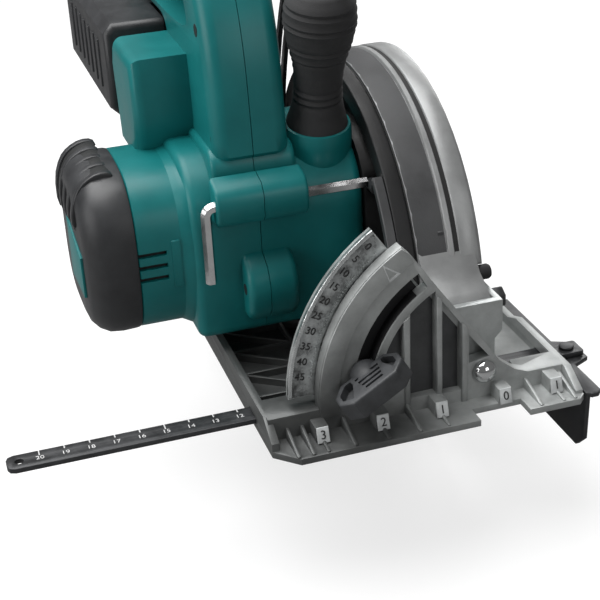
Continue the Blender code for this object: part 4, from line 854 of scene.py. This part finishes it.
# Painted shade: near-black strips between the fins stand in for the shade in the louvre gaps.
gaps = []
for i in range(4):
    x = MOTOR[0] - 19.9 + 10.2 * i
    gaps.append(slab("YZ", [eased([(-131.0, MOTOR[1] + 34.0), (-131.0, MOTOR[1] + 36.3),
                                   (-136.5, MOTOR[1] + 36.2),
                                   (-141.4, MOTOR[1] + 33.6), (-145.0, MOTOR[1] + 29.6),
                                   (-148.1, MOTOR[1] + 21.6),
                                   (-148.1, MOTOR[1] + 11.0), (-145.4, MOTOR[1] + 11.0),
                                   (-143.0, MOTOR[1] + 26.0),
                                   (-139.0, MOTOR[1] + 31.0)], 1)], (x - 3.1, x + 3.1), 0.2, 1))
piece("cap_louvre_gaps", gaps, shadow, "saw_body")
badge = slab("XZ", [[(MOTOR[0] - 6.0, MOTOR[1] - 16.0), (MOTOR[0] + 24.0, MOTOR[1] - 14.0),
                     (MOTOR[0] + 24.0, MOTOR[1] + 4.0),
                     (MOTOR[0] - 6.0, MOTOR[1] + 12.0)]], (-148.6, -147.0), 0.4)
piece("cap_badge_plate", [badge], teal, "saw_body")

# ---------------------------------------------------------------------------------------------
# The hex key: bent chromed steel bar, pushed through the holder from the motor side.
key_metal = surface("chromed_key", (0.70, 0.70, 0.70), 0.18, 1.0, dark=0.85, bright=1.1, blotch=120.0,
                    grain=700.0,
                    relief=0.04, wear=0.06)
KEY_X, KEY_Z = -41.4, 80.7


def hex_bar(points, flats):
    """A six-sided bar carried along points, with a flat turned to the front."""
    bm = bmesh.new()
    radius = flats / math.sqrt(3)
    rows = []
    for i, p in enumerate(points):
        before = Vector(points[max(i - 1, 0)])
        after = Vector(points[min(i + 1, len(points) - 1)])
        along = (after - before).normalized()
        across = Vector((1, 0, 0))
        up = along.cross(across).normalized()
        rows.append([bm.verts.new((Vector(p) + across * radius * math.cos(math.radians(a))
                                   + up * radius * math.sin(math.radians(a))) * MM)
                     for a in range(30, 390, 60)])
    for a, b in zip(rows, rows[1:]):
        for i in range(6):
            j = (i + 1) % 6
            bm.faces.new((a[i], a[j], b[j], b[i]))
    bm.faces.new(rows[0])
    bm.faces.new(list(reversed(rows[-1])))
    mesh = bpy.data.meshes.new("hex")
    bm.to_mesh(mesh)
    bm.free()
    return clean(mesh)


KEY_BEND = 3.4
bend = [(KEY_X, -95.6 - KEY_BEND * math.sin(math.radians(a)),
         KEY_Z - KEY_BEND + KEY_BEND * math.cos(math.radians(a)))
        for a in range(0, 91, 10)]
key_path = [(KEY_X, -30.7, KEY_Z), (KEY_X, -60.0, KEY_Z)] + bend + [(KEY_X, -99.0, 60.0),
                                                                    (KEY_X, -99.0, 48.0)]
piece("hex_wrench", [hex_bar(key_path, 4.0)], key_metal, "hex_key", ("hex_key",),
      sharp=28)

# ---------------------------------------------------------------------------------------------
# The front grip, trigger, buttons and switch: black mouldings; the grip is soft rubber with
# rings moulded round it.
lean_grip = Matrix.Translation(Vector((-64.0, -43.8, 101.2)) * MM) @ Matrix.Rotation(math.radians(12), 4,
                                                                                     "Y")
profile = [(13.0, -1.4), (12.9, 1.0), (11.2, 7.0), (10.2, 12.0), (9.9, 18.0), (10.2, 24.0), (10.9, 30.0),
           (12.3, 35.0),
           (13.7, 40.0), (14.7, 46.0), (14.7, 51.0), (13.6, 56.5), (11.0, 60.0), (7.0, 61.8), (1.0, 62.2)]
knurled = []
for (r0, z0), (r1, z1) in zip(profile, profile[1:]):
    for k in range(4):
        t = k / 4
        ridge = 0.35 * math.sin(2 * math.pi * (z0 + (z1 - z0) * t) / 3.2) if 8 < z0 < 54 else 0.0
        knurled.append((r0 + (r1 - r0) * t + ridge, z0 + (z1 - z0) * t))
knurled.append(profile[-1])
grip = turned("Z", (0.0, 0.0), knurled, 48)
grip.transform(lean_grip)
grip_foot = turned("Z", (0.0, 0.0), [(15.0, -14.0), (14.8, -6.0), (14.4, -1.0), (13.9, 0.6), (11.0, 1.2)],
                   48)
grip_foot.transform(lean_grip)
piece("front_grip_rubber", [grip], rubber, "saw_body", ("front_grip",))
piece("front_grip_foot", [grip_foot], teal, "saw_body")
black_nylon = surface("black_nylon", (0.016, 0.016, 0.017), 0.45, 0.0, dark=0.8, bright=1.5, blotch=120.0,
                      grain=2600.0, relief=0.15)
piece("trigger_blade", [from_node("trigger", 0.8)], black_nylon, "trigger", ("trigger",))
piece("lock_off", [from_node("lock_off_button", 0.7)], black_nylon, "lock_off_button", ("lock_off_button",))

# ---------------------------------------------------------------------------------------------
# The battery pack: dark nylon case, ribbed at the sides, with a red latch at its back and a
# rounded foot under it.
low, high = (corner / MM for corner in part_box("battery_pack"))
x0, x1, y0, y1, z0, z1 = low.x, high.x, low.y, high.y, low.z, high.z
case = slab("YZ", [[(y0, z0 + 10), (y0 + 10, z0), (y1 - 10, z0), (y1, z0 + 10), (y1, z1 - 4), (y1 - 4, z1),
                    (y0 + 4, z1), (y0, z1 - 4)]],
            (x0, x1), 3.0, 3)
bay = block((x1 - 30.0, x1 + 2.0), (PARTING - 14, PARTING + 14), (z1 - 12, z1 + 3), 0.3)
latch_bay = block((x0 - 2.0, x0 + 14.0), (-92, -68), (116, 128), 0.3)
case = carved(case, [bay, latch_bay])
ribs = []
for i in range(7):
    x = x0 + 16.0 + 12.0 * i
    ribs.append(slab("YZ", [[(y0 - 0.7, z0 + 16), (y0 + 2, z0 + 16), (y0 + 2, z1 - 10),
                             (y0 - 0.7, z1 - 10)]], (x, x + 4.0), 0.5))
    ribs.append(slab("YZ", [[(y1 - 2, z0 + 16), (y1 + 0.7, z0 + 16), (y1 + 0.7, z1 - 10),
                             (y1 - 2, z1 - 10)]], (x, x + 4.0), 0.5))
ribs.append(slab("XZ", [cornered((x1 - 26.0, z0 - 5.0), (x1 - 14.0, z0 + 6.0), (5, 5, 2, 2), 5)],
                 (-106.0, -92.0), 1.8, 3))
piece("battery_case", [case] + ribs, cap_nylon, "battery", ("battery_pack",), sharp=38)
red = surface("red_nylon", (0.42, 0.030, 0.018), 0.4, blotch=100.0, grain=2600.0, relief=0.1)
piece("battery_catch", [from_node("battery_latch", 0.9)], red, "battery_latch", ("battery_latch",))

# ---------------------------------------------------------------------------------------------
# The depth stop at the rear: blackened sheet with a curved slot, a clamp bolt and its lever,
# and the bracket that carries it on the rear pivot.
piece("depth_arc", [from_node("depth_guide", 0.25)], blackened, "tilt_frame", ("depth_guide",))
piece("rear_hinge_bracket", [from_node("rear_bracket", 0.4)], blackened, "tilt_frame", ("rear_bracket",))
piece("depth_clamp_bolt", [from_node("depth_lock_bolt", 0.3)], plain_steel, "saw_body",
      ("depth_lock_bolt",))
piece("depth_clamp_lever", [from_node("depth_lever", 0.9)], black_nylon, "depth_lever", ("depth_lever",))

# ---------------------------------------------------------------------------------------------
# The blade and everything on its spindle: ground steel with a brushed face, pressed flanges and
# a blackened bolt; behind them the geared drive and the motor's parts.
blade_steel = surface("ground_blade", (0.55, 0.56, 0.57), 0.26, 1.0, dark=0.85, bright=1.1, blotch=40.0,
                      grain=1600.0,
                      relief=0.05, scratch=0.4)
copper = surface("copper_winding", (0.45, 0.17, 0.07), 0.38, 0.9, blotch=300.0, grain=1500.0, relief=0.4)
laminated = surface("laminated_core", (0.20, 0.20, 0.21), 0.45, 0.8, blotch=200.0, grain=1500.0, relief=0.3)
piece("saw_blade", [from_node("blade", 0.0)], blade_steel, "blade_drive", ("blade",), sharp=25)
piece("clamping_flange", [from_node("outer_flange", 0.4)], plain_steel, "blade_drive", ("outer_flange",))
piece("blade_screw", [from_node("blade_bolt", 0.4)], blackened, "blade_drive", ("blade_bolt",))


def coat(node, material):
    """Gives a CAD node its finish."""
    mesh = NODES[node].data
    mesh.materials.clear()
    mesh.materials.append(material)


for name in ("inner_flange", "spindle", "drive_gear", "motor_pinion", "rotor_shaft", "guard_spring",
             "spindle_front_bearing",
             "spindle_rear_bearing", "rotor_drive_bearing", "rotor_end_bearing", "shell_screw_1",
             "shell_screw_2",
             "shell_screw_3", "shell_screw_4"):
    coat(name, plain_steel)
for name in ("cooling_fan", "switch_module", "terminal_block"):
    coat(name, black_nylon)
coat("stator", copper)
coat("rotor_core", laminated)
